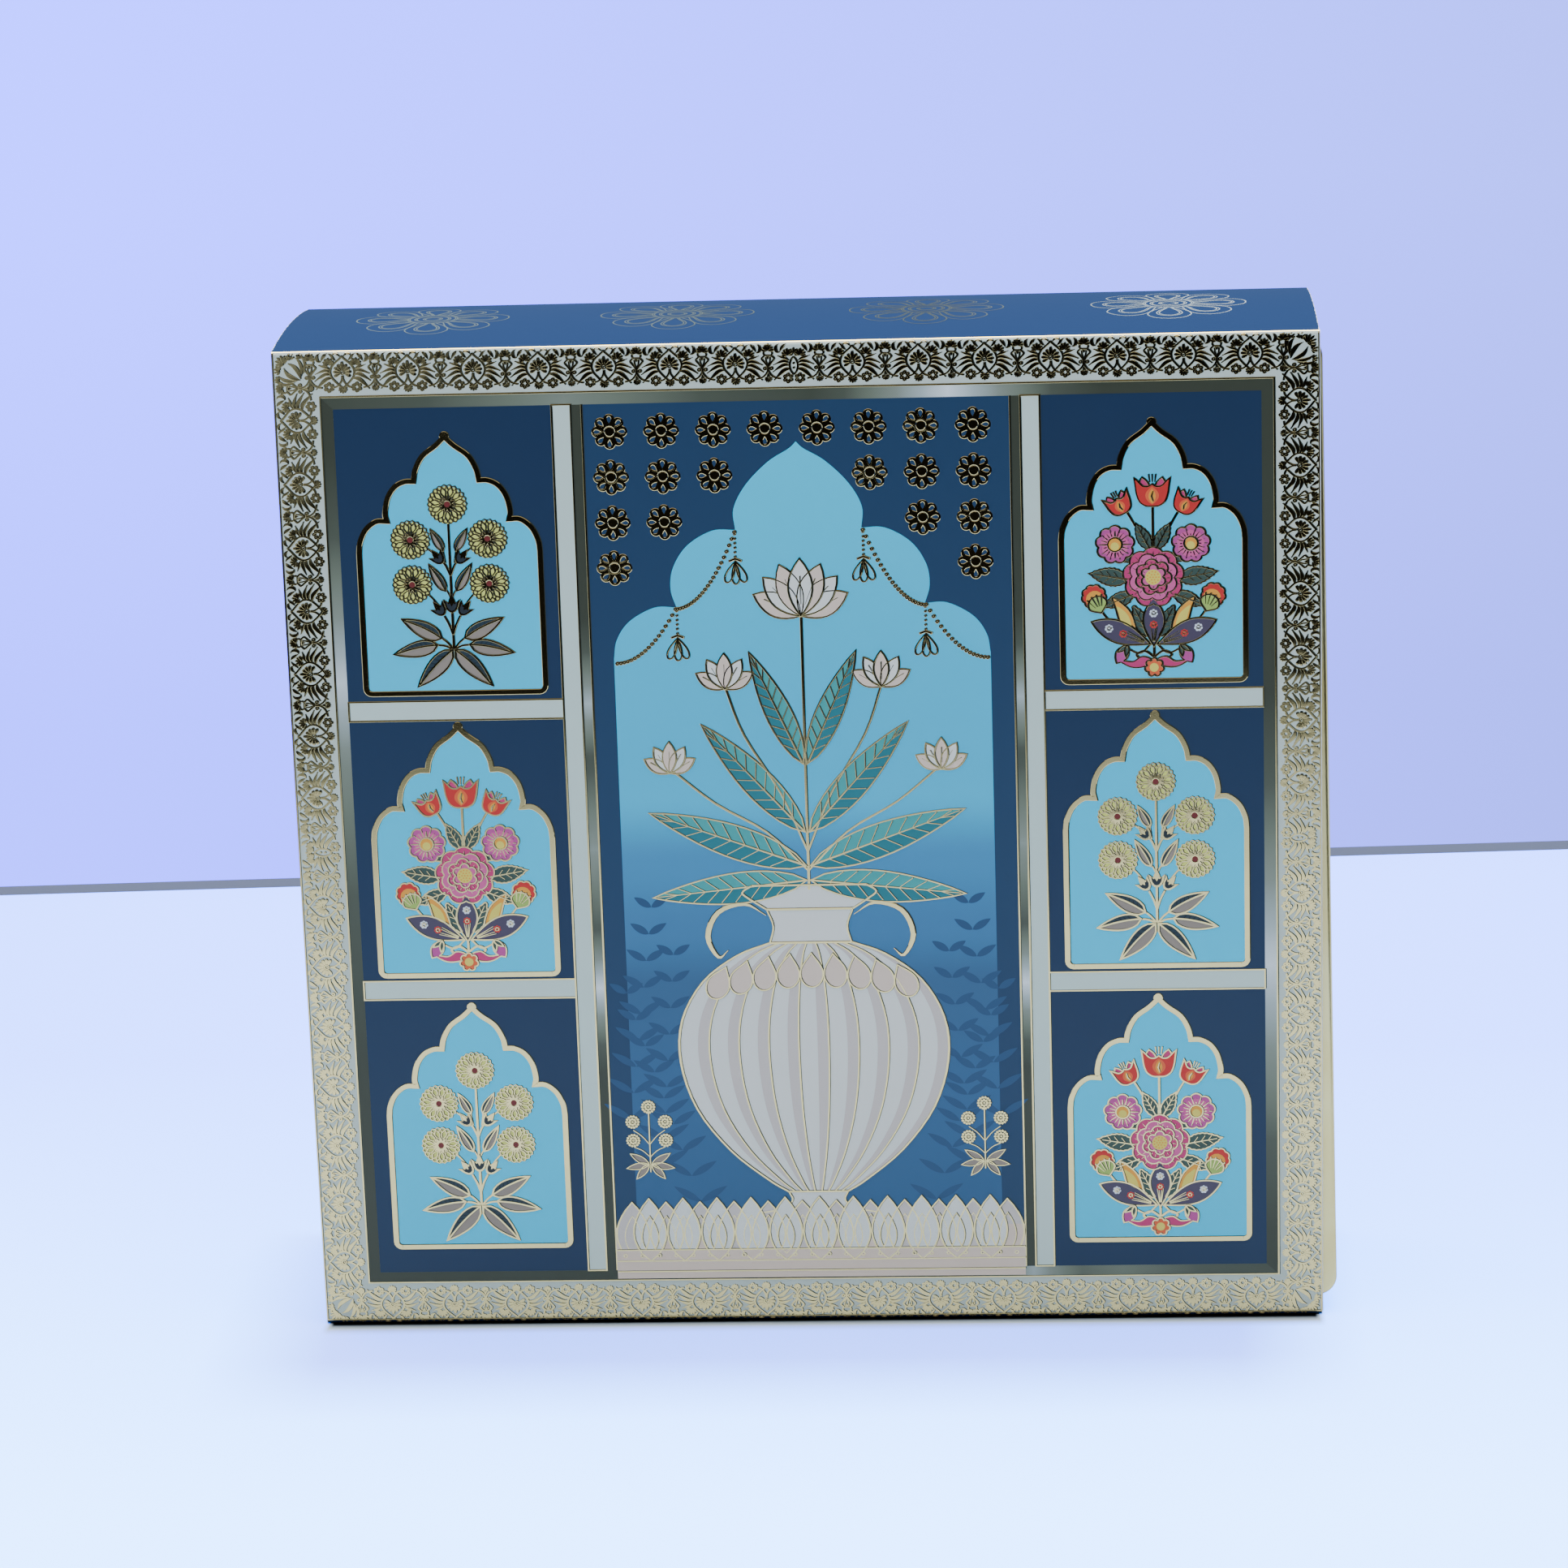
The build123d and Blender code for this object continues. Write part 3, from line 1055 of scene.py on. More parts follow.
def border(wrap):
    """The four sides of the border, the sprays in its corners and its edging."""
    middle = np.array(((FRAME_LEFT + FRAME_RIGHT) / 2, (FRAME_BOTTOM + FRAME_TOP) / 2))
    half_wide = (FRAME_RIGHT - FRAME_LEFT) / 2
    half_high = (FRAME_TOP - FRAME_BOTTOM) / 2
    across = half_wide + CORNER_REACH
    upward = half_high + CORNER_REACH
    sides = {
        "top": (half_high, 0, across),
        "bottom": (half_high, 180, across),
        "left": (half_wide, 90, upward),
        "right": (half_wide, 270, upward),
    }
    for name, (half, degrees, reach) in sides.items():
        border_side(f"border_{name}", wrap, middle, half, degrees, reach)
    sheet = Print(BORDER_SLOPE, BORDER_BEVEL)
    for x, z, degrees in ((-1, 1, 225), (-1, -1, 315), (1, -1, 45), (1, 1, 135)):
        at = (x * (HALF - CORNER_INSET), HEIGHT / 2 + z * (HEIGHT / 2 - CORNER_INSET))
        sheet.stamps(corner_spray(), at, degrees, base=GROUND)
    lay_print("border_corners", sheet, wrap)
    border_edging(wrap)


# Niches: six cusped arches with a plant in each
NICHE_HALF = 17.9
NICHE_TALL = 52.4
NICHE_ROUND = 1.2
NICHE_LINE = 1.08
NICHE_X = (-68.75, 69.4)
NICHE_BASES = (16.25, 74.6, 133.1)


def arch_half():
    """The right half of the niche's outline from its tip to its foot, about its own foot."""
    tip = NICHE_TALL - 0.4
    edge = NICHE_HALF - NICHE_ROUND
    lobes = [
        [(0, 0), (1.8, -1.75), (4.45, -3.75), (5.95, -6.4), (6.45, -8.75)],
        [(6.45, -8.75), (8.25, -8.8), (10.2, -9.8), (11.7, -12.0), (12.35, -15.0), (12.1, -16.6)],
        [(12.1, -16.6), (14.3, -16.65), (16.4, -18.3), (17.6, -20.8), (NICHE_HALF, -23.0)],
    ]
    parts = [spline(np.array(lobe) + (0, tip), 4)[:-1] for lobe in lobes]
    corner = place(circle((0, 0), NICHE_ROUND, 16)[12:][::-1], (edge, 1.75))
    foot = [(NICHE_HALF, tip - 23.0), (NICHE_HALF, 1.75), *corner, (edge, 0.55), (0, 0.55)]
    return np.vstack([*parts, foot])


def arch_outline():
    """The whole outline of a niche, clockwise from its tip."""
    half = arch_half()
    return np.vstack([half, flip(half)[:-1]])


def niche_arch(sheet, at):
    """The bright blue of a niche, its gold edge and the knob on its tip."""
    outline = place(arch_outline()[::-1], at)
    sheet.fill("cyan", outline, base=ARCH)
    sheet.ring(outline, NICHE_LINE, 1, ARCH)
    knob = circle(np.add(at, (0, NICHE_TALL - 0.25)), 0.5, 12)
    sheet.ring(knob, 0.9, 1, ARCH)


# Leaves of the niches: how far the midrib bows, and the hatching of the larger ones
RIB_BOW = 0.09
HATCH = 0.36
HATCH_PITCH = 0.1
HATCHED_LENGTH = 7


def outlined_leaf(sheet, at, degrees, length, width, dark_side):
    """A leaf parted by a bowed midrib: a wide grey half and a narrow dark hatched one."""
    line = min(0.36, 0.05 * length)
    outline = leaf(length, width, 0.38)
    bow = dark_side * width * RIB_BOW
    rib = spline([(0, 0), (bow, 0.3 * length), (bow, 0.6 * length), (0, 0.97 * length)], 3)
    right, left = leaf_sides(outline)
    edge = right if dark_side > 0 else left[::-1]
    dark = np.vstack([edge, rib[::-1][1:-1]])[::dark_side]
    sheet.fill("leaf_grey", place(outline, at, degrees))
    sheet.fill("leaf_dark", place(dark, at, degrees), 1)
    if length > HATCHED_LENGTH:
        for share in np.arange(0.2, 0.8, HATCH_PITCH):
            root, end = share * length, (share + HATCH_PITCH) * length
            reach = np.interp(end, edge[:, 1], edge[:, 0])
            hatch = [(bow, root), (reach * 0.95, end), (bow, root + HATCH)]
            sheet.fill("leaf_vein", place(hatch, at, degrees), 2)
    sheet.stamp(place(rib, at, degrees), line, 3)
    sheet.ring(place(outline, at, degrees), line, 3)


# Blossoms: each ring's petals, and their start, length, width and line by the radius
BLOSSOM_RINGS = ((22, 0.72, 0.28, 0.24, 0.05), (11, 0.32, 0.54, 0.27, 0.056))
BLOSSOM_RAYS = 11
MISREGISTER = (-0.1, -0.14)


def blossom(sheet, at, radius):
    """A full round blossom: rings of pointed petals and foil rays around a red eye."""
    shifted = place(lobed(radius * 0.97, 28, radius * 0.12, 4), np.add(at, MISREGISTER))
    sheet.fill("yellow", shifted, layer=1)
    for count, start, length, width, line in BLOSSOM_RINGS:
        shape = leaf(radius * length, radius * width, 0.62, 5) + (0, radius * start)
        for i in range(count):
            path = place(shape, at, 360 / count * (i + 0.5))
            sheet.ring(path, radius * line, 2)
    for i in range(BLOSSOM_RAYS):
        ray = place([(0, radius * 0.14), (0, radius * 0.44)], at, 360 / BLOSSOM_RAYS * i)
        sheet.stamp(ray, (radius * 0.22, radius * 0.05), 4)
    sheet.fill("brick", circle(at, radius * 0.15, 12), layer=6)
    sheet.ring(circle(at, radius * 0.18, 12), radius * 0.06, 4)


# The right half of a bud and of its dark throat, from top to foot
BELL = [
    (0, 1.4), (0.18, 1.0), (0.26, 0.7), (0.4, 0.74), (0.68, 0.98),
    (0.52, 0.5), (0.38, 0.16), (0.18, -0.02), (0, -0.08),
]
THROAT = [
    (0, 0.42), (0.16, 0.7), (0.26, 0.62), (0.48, 0.86), (0.4, 0.42), (0.22, 0.14), (0, 0.06),
]


def bell(sheet, at, degrees, size):
    """A small foil bud with a dark throat, and one tall point between two that bend outward."""
    level = sheet.solid("foil", place(symmetric(BELL)[:-1], at, degrees, size), 3, PICTURE)
    sheet.fill("bell_dark", place(symmetric(THROAT)[:-1], at, degrees, size), 1, level)


# The five-blossom plant, on its right side: stems with their widths, then each leaf's root,
# turn, length and width
PLANT_STEMS = (
    ([(0.9, 26.8), (1.3, 29.4)], 0.3),
    ([(0, 24.2), (0.8, 26.2), (1.5, 27.2)], 0.42),
    ([(2.6, 28.4), (3.6, 29.2), (4.6, 30.0)], 0.34),
    ([(0, 19.4), (0.6, 20.8), (1.1, 21.6)], 0.3),
    ([(0, 12.3), (0.7, 14.4), (1.6, 16.2)], 0.42),
    ([(2.7, 18.4), (3.8, 19.8), (4.8, 20.8)], 0.34),
    ([(0, 9.3), (1.2, 10.8), (2.4, 11.8)], 0.42),
    ([(0, 9.3), (1.6, 10.1), (3.2, 10.3)], 0.42),
)
PLANT_LEAVES = (
    ((2.3, 11.7), -63, 8.7, 3.2),
    ((3.2, 10.35), -101.5, 8.9, 3.1),
    ((0.3, 9.3), -136, 10.2, 3.5),
    ((1.2, 29.3), -29, 5.0, 1.75),
    ((1.1, 21.2), -30, 6.2, 2.0),
)
PLANT_BLOSSOMS = ((0, 38.6), (7.65, 31.6), (-7.65, 31.6), (7.65, 22.6), (-7.65, 22.6))
BLOSSOM_RADIUS = 3.9


def five_blossom_plant(sheet, at):
    """The buta that repeats in the niches: five blossoms over a tuft of six leaves."""
    at = np.asarray(at, float)
    side_stems = both_sides([curve(points, width, 3) for points, width in PLANT_STEMS])
    upright = Line([(0, 9.0), (0, 22.0), (0, 35.2)], (0.5, 0.5, 0.4))
    sheet.stamps([*side_stems, upright], at)
    for side in (1, -1):
        for (x, z), degrees, length, width in PLANT_LEAVES:
            outlined_leaf(sheet, at + (side * x, z), side * degrees, length, width, -side)
        bell(sheet, at + (side * 1.6, 27.0), side * -38, 2.1)
        bell(sheet, at + (side * 1.75, 16.6), side * -38, 2.1)
    bell(sheet, at + (0, 17.1), 0, 2.3)
    for spot in PLANT_BLOSSOMS:
        blossom(sheet, at + spot, BLOSSOM_RADIUS)


THIN = 0.3


def inked(sheet, ink, outline, layer, line=THIN):
    """A printed shape with a stamped outline, in front of all that was drawn before it."""
    outline = fine(outline)
    sheet.cover(outline)
    sheet.edged(ink, outline, line, layer)


def rays(sheet, at, count, start, end, width, layer, turn=0.0):
    """Short stamped lines around a point, in turn short and long."""
    for i in range(count):
        reach = end if i % 2 else start + (end - start) * 0.7
        ray = place([(0, start), (0, reach)], at, turn + 360 / count * i)
        sheet.stamp(ray, (width, width * 0.4), layer)


def toothed_leaf(sheet, at, degrees, length, width):
    """A dark leaf with a finely toothed edge, a midrib and side veins."""
    teeth = leaf(length, width, 0.42, max(10, int(2.4 * length)))
    middle = np.array((0, length * 0.45))
    teeth[1::2] = middle + (teeth[1::2] - middle) * 1.07
    inked(sheet, "leaf_green", place(teeth, at, degrees), 1, 0.3)
    sheet.stamp(place([(0, 0), (0, length * 0.9)], at, degrees), (0.3, 0.16), 2)
    for share in (0.25, 0.45, 0.65):
        for side in (-1, 1):
            vein = [(0, share * length), (side * width * 0.3, (share + 0.14) * length)]
            sheet.stamp(place(vein, at, degrees), 0.14, 2)


def peony(sheet, at, radius):
    """Rings of lobed petals, each ring smaller than the one behind it, around yellow seeds."""
    rings = ((1.0, 9, "rose", 0), (0.8, 8, "pink", 20), (0.6, 7, "rose", 8), (0.42, 6, "pink", 0))
    for layer, (share, count, tone, turn) in enumerate(rings, start=2):
        size = radius * share
        inked(sheet, tone, place(lobed(size, count, size * 0.36), at, turn), layer, 0.27)
        rays(sheet, at, 3 * count, size * 0.74, size * 0.9, 0.15, layer, turn)
    sheet.cover(circle(at, radius * 0.26))
    sheet.fill("gold_yellow", circle(at, radius * 0.26, 16), layer=6)
    for share, count in ((0.0, 1), (0.4, 6), (0.78, 11)):
        for i in range(count):
            dot = place([(radius * 0.24 * share, 0)], at, 360 / count * i)[0]
            sheet.fill("orange", circle(dot, 0.17, 8), layer=7)


def anemone(sheet, at, radius):
    """A frilled round flower with stamped rays and an orange heart."""
    inked(sheet, "magenta", place(lobed(radius, 9, radius * 0.33), at), 3, 0.32)
    sheet.fill("pink", place(lobed(radius * 0.72, 9, radius * 0.24), at), layer=4)
    rays(sheet, at, 20, radius * 0.42, radius * 0.84, 0.28, 4)
    inked(sheet, "orange", circle(at, radius * 0.36, 14), 5)
    sheet.fill("gold_yellow", circle(at - (0, radius * 0.09), radius * 0.22, 12), layer=6)


# The cup of a tulip: the right half of its rim, then its side
TULIP_RIM = [(0, 0.74), (0.14, 0.66), (0.32, 0.68), (0.5, 0.86), (0.6, 0.94)]
TULIP_SIDE = [(0.6, 0.94), (0.56, 0.66), (0.52, 0.4), (0.42, 0.14), (0.22, 0.0), (0, -0.02)]


def tulip(sheet, at, degrees, size):
    """A cup of three red points with an orange streak, petals behind it and stamens above."""

    def put(points):
        return place(points, at, degrees, size)

    for x in (-0.12, 0, 0.12):
        sheet.stamp(put([(x * 0.7, 0.8), (x, 1.08)]), (0.16, 0.26), 1)
    for x in (-0.24, 0.24):
        inked(sheet, "rose", put(place(leaf(0.6, 0.38), (x, 0.38), -x * 40)), 3)
    cup = symmetric(np.vstack([spline(TULIP_RIM, 3), spline(TULIP_SIDE, 3)[1:-1]]))
    inked(sheet, "red", put(cup), 4, 0.32)
    sheet.fill("coral", put(place(leaf(0.62, 0.46, 0.5), (0, 0.04))), layer=5)
    sheet.fill("orange", put(place(leaf(0.5, 0.24, 0.5), (0, 0.08))), layer=6)
    sheet.stamp(put([(0.03, 0.14), (-0.03, 0.32), (0.02, 0.5)]), (0.14, 0.26, 0.14), 6)


def round_bud(sheet, at, degrees, size):
    """A bud with a frilled red head in a striped lime cup."""

    def put(points):
        return place(points, at, degrees, size)

    inked(sheet, "red", put(place(lobed(0.42, 9, 0.15), (0, 0.62))), 3)
    sheet.fill("orange", put(circle((0, 0.52), 0.3, 14)), layer=4)
    inked(sheet, "lime", put(petal(0.6, 0.66, 0.5)), 5)
    for turn in (-24, -8, 8, 24):
        sheet.stamp(put(place([(0, 0.24), (0, 0.66)], degrees=turn)), (0.12, 0.26), 5)


def small_bud(sheet, at, degrees, size):
    """A closed pink bud under two sepals."""
    inked(sheet, "magenta", place(leaf(1.0, 0.6, 0.5), at, degrees, size), 3)
    for turn in (-24, 24):
        inked(sheet, "leaf_green", place(leaf(0.55, 0.2), at, degrees + turn, size), 4)


def dotted_leaf(sheet, at, degrees, length, width):
    """A broad plum leaf with fine lines along it, sprinkled with small white and red flowers."""
    inked(sheet, "plum", place(leaf(length, width, 0.55, int(2 * length)), at, degrees), 2, 0.34)
    for lean in (-9, -4, 4, 9):
        line = place([(0, length * 0.1), (0, length * 0.42)], at, degrees + lean)
        sheet.stamp(line, (0.22, 0.1), 2)
    for share, tone, radius in ((0.46, "red", 0.8), (0.7, "white", 0.85)):
        centre = place([(0, length * share)], at, degrees)[0]
        sheet.fill(tone, place(lobed(radius, 7, radius * 0.34), centre), layer=3)
        rays(sheet, centre, 14, 0.22, radius * 0.7, 0.18, 3)


# The posy, on its right side: each leaf's root, turn, length and width, and two curled petals
BOUQUET_LEAVES = (
    ((5.0, 21.0), -80, 7.4, 3.4),
    ((4.0, 18.0), -112, 6.2, 2.8),
    ((3.9, 24.6), -50, 5.6, 2.6),
    ((0.6, 27.0), -28, 5.6, 2.5),
    ((1.0, 9.6), -26, 6.8, 2.8),
)
CURL = [(3.6, 10.8), (6.4, 12.2), (7.4, 15.0), (8.0, 17.4), (5.4, 15.6), (4.0, 13.4)]
WING = [(0.6, 4.9), (2.4, 5.5), (4.2, 4.5), (6.8, 4.8), (4.4, 3.4), (1.6, 3.6)]


def on_side(points, side):
    """The points for the right side, or their mirror image for the left one."""
    return points if side > 0 else flip(points)


def bouquet(sheet, at):
    """A generic posy: a peony between two anemones, under tulips and over a fan of leaves."""
    at = np.asarray(at, float)
    stems = [
        curve([(0, 9.0), (4.2, 12.0), (8.2, 12.6), (10.6, 15.2)], 0.42, 12),
        curve([(1.0, 26.0), (3.4, 31.6), (5.6, 35.4)], 0.42, 12),
        curve([(0.6, 8.0), (2.8, 6.2), (5.6, 7.4)], 0.4, 10),
        curve([(0, 5.4), (1.8, 6.6), (3.4, 5.9), (2.6, 4.9)], 0.5, 8),
    ]
    upright = Line(fine([(0, 3.2), (0, 37.0)], closed=False), 0.46)
    sheet.stamps([*both_sides(stems), upright], at)
    for side in (1, -1):
        for (x, z), degrees, length, width in BOUQUET_LEAVES:
            toothed_leaf(sheet, at + (side * x, z), side * degrees, length, width)
        curl = spline(CURL, 5, closed=True)
        glow = place(curl, (2.2, 4.9), scale=0.62)
        inked(sheet, "orange", at + on_side(curl, side), 1)
        sheet.fill("gold_yellow", at + on_side(glow, side), layer=2)
        dotted_leaf(sheet, at + (side * 0.7, 8.0), side * -68, 12.4, 4.4)
        anemone(sheet, at + (side * 7.4, 28.0), 3.8)
        round_bud(sheet, at + (side * 10.2, 14.4), side * -24, 5.8)
        tulip(sheet, at + (side * 5.6, 34.2), side * -26, 4.4)
        small_bud(sheet, at + (side * 5.2, 7.8), side * -148, 4.2)
        inked(sheet, "rose", at + on_side(spline(WING, 5, closed=True), side), 2)
    dotted_leaf(sheet, at + (0, 7.6), 0, 9.4, 4.2)
    inked(sheet, "coral", place(lobed(1.9, 7, 0.62), at + (0, 3.3)), 3)
    sheet.fill("gold_yellow", circle(at + (0, 3.3), 0.9, 12), layer=4)
    peony(sheet, at + (0, 21.4), 6.0)
    tulip(sheet, at + (0, 35.6), 0, 5.8)


PLANT_BEVEL = 0.17


def niches(wrap):
    """The two plants take turns down each column, the other way round on the other side."""
    for column, x in enumerate(NICHE_X):
        for row, z in enumerate(NICHE_BASES):
            sheet = Print(bevel=PLANT_BEVEL)
            niche_arch(sheet, (x, z))
            plant = five_blossom_plant if (column + row) % 2 == 0 else bouquet
            plant(sheet, (x, z))
            side = ("left", "right")[column]
            lay_print(f"niche_{side}_{row + 1}", sheet, wrap)


# Centre panel: rosettes over a large cusped arch, and a generic urn of flowers in it
ROSETTE_COLUMNS = (35.5, 25.35, 15.2, 5.1)
ROSETTE_ROWS = (185.45, 176.4, 167.3, 158.3)
ROSETTE_MIDDLE = -0.72
ROSETTE_RIM = 0.34
ROSETTE_RADIUS = 3.5
ROSETTE_BEVEL = 0.5
PETALS = 8


def rosette(sheet, at):
    """Eight round petals in solid foil, each with an open drop, round a groove and a disc."""
    drop = petal(1.9, 1.12, 0.66, 6)
    drops = [place(drop + (0, 1.32), at, 360 / PETALS * i) for i in range(PETALS)]
    outline = place(lobed(ROSETTE_RADIUS - 0.14, PETALS, 0.98, 10), at)
    groove = circle(at, 1.22, 20)
    level = sheet.ring(outline, ROSETTE_RIM, base=FIELD)
    for edge in (*drops, groove):
        sheet.ring(edge, ROSETTE_RIM, base=FIELD)
    sheet.fill("foil", outline, 0, level, holes=(*drops, groove))
    sheet.solid("foil", circle(at, 0.8, 16), 0, FIELD, ROSETTE_RIM)


def rosettes(wrap):
    """Rows of rosettes on both sides of the arch, one fewer in each row below the first."""
    sheet = Print(bevel=ROSETTE_BEVEL, painted_foil_shadow=None)
    for row, z in enumerate(ROSETTE_ROWS):
        for x in ROSETTE_COLUMNS[:len(ROSETTE_COLUMNS) - row]:
            for side in (-1, 1):
                rosette(sheet, (ROSETTE_MIDDLE + side * x, z))
    lay_print("rosettes", sheet, wrap)


# Centre arch: the lobes of its right half from the tip down, then its straight side
CENTRE_LOBES = (
    [(0, 182.8), (1.5, 181.4), (5.6, 178.9), (10.1, 174.4), (12.6, 169.7), (12.4, 165.5)],
    [(12.4, 165.5), (17.0, 165.4), (22.0, 162.5), (24.9, 158.1), (25.5, 153.8), (24.5, 150.2)],
    [(24.5, 150.2), (28.9, 150.2), (33.9, 147.5), (36.5, 143.8), (37.2, 140.0)],
)
CENTRE_SIDE = [(37.2, 140.0), (37.2, FIELD_BOTTOM)]


def centre_arch_outline():
    """The whole outline of the arch, anticlockwise."""
    half = np.vstack([*(spline(lobe, 6)[:-1] for lobe in CENTRE_LOBES), CENTRE_SIDE])
    return np.vstack([half, flip(half)[:-1]])[::-1]


# Urn: the right half of its lip, neck, body and foot, downward, between its top and its sole
URN_TOP, URN_SOLE = (0, 93.0), (0, 20.0)
URN_PARTS = (
    [(11.5, 93.0), (13.4, 91.6), (11.6, 90.0), (8.6, 88.0)],
    [(8.6, 88.0), (7.4, 84.5), (8.2, 81.0)],
    [
        (8.2, 81.0), (15.0, 78.4), (22.0, 73.0), (26.4, 65.0), (27.0, 56.0), (24.0, 46.0),
        (17.5, 37.0), (10.0, 30.6), (6.0, 28.0),
    ],
    [(6.0, 28.0), (5.4, 26.0), (8.0, 24.2), (15.0, 22.6), (16.0, 20.0)],
)
URN_HANDLE = [(8.8, 86.8), (13.0, 89.2), (18.4, 87.6), (20.6, 82.6), (18.6, 78.2), (16.6, 79.6)]
RIBS = 9


def urn(sheet, middle):
    """A fluted ivory urn with a petalled shoulder."""
    at = (middle, 0)
    parts = [spline(part, 4) for part in URN_PARTS]
    body = parts[2]
    profile = np.vstack([URN_TOP, parts[0], *(part[1:] for part in parts[1:]), URN_SOLE])
    sheet.fill("ivory", place(symmetric(profile)[::-1], at), layer=0)
    for rib in range(RIBS):
        left, right = (body * ((2 * rib + share) / RIBS - 1, 1) for share in (1.25, 2.0))
        sheet.fill("ivory_shade", place(np.vstack([left, right[::-1]]), at), layer=1)
    for rib in range(RIBS + 1):
        sheet.stamp(place(body * (2 * rib / RIBS - 1, 1), at), 0.3, 2)
    for part, width in zip(parts, (0.4, 0.34, 0.42, 0.36)):
        sheet.stamps(both_sides([Line(part, width)]), at, layer=3)
    rims = [*(part[-1] for part in parts), parts[0][0]]
    for (x, z), width in zip(rims, (0.45, 0.45, 0.4, 0.4, 0.4)):
        sheet.stamp([(middle - x, z), (middle + x, z)], width, 3)
    for i in range(-4, 5):
        drop = place(petal(7.2, 4.6, 0.6), (middle + i * 4.3, 78.8 - 0.17 * i * i), 180 + i * 6)
        sheet.fill("beige", drop, layer=4)
        sheet.ring(drop, 0.28, 5)
    sheet.stamps(both_sides([blade(URN_HANDLE, 1.1, 0.5)]), at, layer=2)


def veined_leaf(sheet, at, degrees, length, width, side):
    """A long teal leaf with a darker half, a midrib and fine side veins."""
    outline = leaf(length, width, 0.42, 12)
    right, left = leaf_sides(outline)
    sheet.fill("teal", place(outline, at, degrees))
    sheet.fill("teal_dark", place(right if side > 0 else left, at, degrees), 1)
    sheet.ring(place(outline, at, degrees), 0.3, 2)
    sheet.stamp(place([(0, 0), (0, length * 0.97)], at, degrees), (0.4, 0.16), 2)
    for share in np.arange(0.12, 0.86, 0.09):
        reach = np.interp(share + 0.09, np.linspace(0, 1, len(right)), right[:, 0])
        vein = [(0, share * length), (reach * 0.9, (share + 0.085) * length)]
        for path in (vein, flip(vein)):
            sheet.stamp(place(path, at, degrees), 0.16, 2)


def lotus(sheet, at, size, petals=7):
    """An open lotus seen from its side: petals fan out from a base, the middle one in front."""
    order = sorted(range(petals), key=lambda i: -abs(i - petals // 2))
    for step, i in enumerate(order):
        turn = (i - petals // 2) * 150 / petals
        outline = place(leaf(size * (1 - 0.0016 * abs(turn)), size * 0.42, 0.5), at, -turn)
        layer = 2 + step * 4 // petals
        sheet.edged("ivory" if i % 2 else "beige", outline, THIN, layer)
        rib = place([(0, size * 0.2), (0, size * 0.7)], at, -turn)
        sheet.stamp(rib, (0.1, 0.16), layer)


def garland(start, end, sag, count):
    """Beads on a hanging line."""
    start, end = np.array(start, float), np.array(end, float)
    beads = []
    for t in np.linspace(0, 1, count):
        at = start + (end - start) * t - (0, sag * 4 * t * (1 - t))
        beads.append(bead(at, 0.24, 0.36, 8))
    return beads


BEAD_PITCH = 0.9


def tassel(x, top, length):
    """A string of beads with a petalled drop at its end."""
    count = int(length / BEAD_PITCH)
    beads = [bead((x, top - BEAD_PITCH * i), 0.15, 0.26) for i in range(count)]
    foot = top - length
    petals = [place(petal(4.6, 1.5, 0.7), (x, foot), 180 + turn) for turn in (-24, 0, 24)]
    drop = [Line(points, 0.3, closed=True) for points in petals]
    cap = Line([(x - 1.3, foot), (x, foot + 0.5), (x + 1.3, foot)], 0.5)
    return [*beads, *drop, cap]


PARAPET_PETALS = 12
PARAPET_FOOT = FRAME_BOTTOM + 0.4


def lotus_parapet(sheet):
    """Two rows of upright lotus petals along the foot of the panel, behind a beaded rail."""
    left, right = LEFT_STRIP + STRIP + 0.1, RIGHT_STRIP - 0.1
    pitch = (right - left) / PARAPET_PETALS
    half_wide = pitch * 0.48
    sheet.fill("beige", rectangle(left, PARAPET_FOOT, right, 20.5), layer=5)
    for first, offset, tone, layer in ((0, 0.5, "ivory_shade", 5), (1, 0.0, "ivory", 6)):
        for i in range(first, PARAPET_PETALS):
            x = left + (i + offset) * pitch
            outline = place(leaf(13.6 - 1.6 * offset, 2 * half_wide, 0.45), (x, 13.2))
            sheet.edged(tone, outline, 0.34, layer)
            sheet.ring(place(leaf(8.4, half_wide, 0.45), (x, 14.6)), 0.2, layer)
    sheet.fill("beige", rectangle(left, PARAPET_FOOT, right, 15.6), layer=7)
    for z in (10.9, 13.2, 15.6):
        sheet.stamp([(left, z), (right, z)], 0.32, 7)
    for i in range(2 * PARAPET_PETALS):
        x = left + (i + 0.5) * pitch / 2
        sheet.ring(circle((x, 14.4), 0.35, 8), 0.22, 7)


def dusk_foliage(sheet, middle):
    """Leaves in a blue close to that of the ground behind them."""
    for side in (1, -1):
        for x, base, lean in ((31.5, 34.0, 4), (24.0, 26.0, -14), (37.5, 44.0, 6)):
            for i in range(9):
                at = (middle + side * (x - lean * i * 0.12), base + 5.6 * i)
                for turn in (-58, 58):
                    sheet.fill("dusk", place(leaf(6.4 - 0.3 * i, 1.5), at, turn), layer=-1)


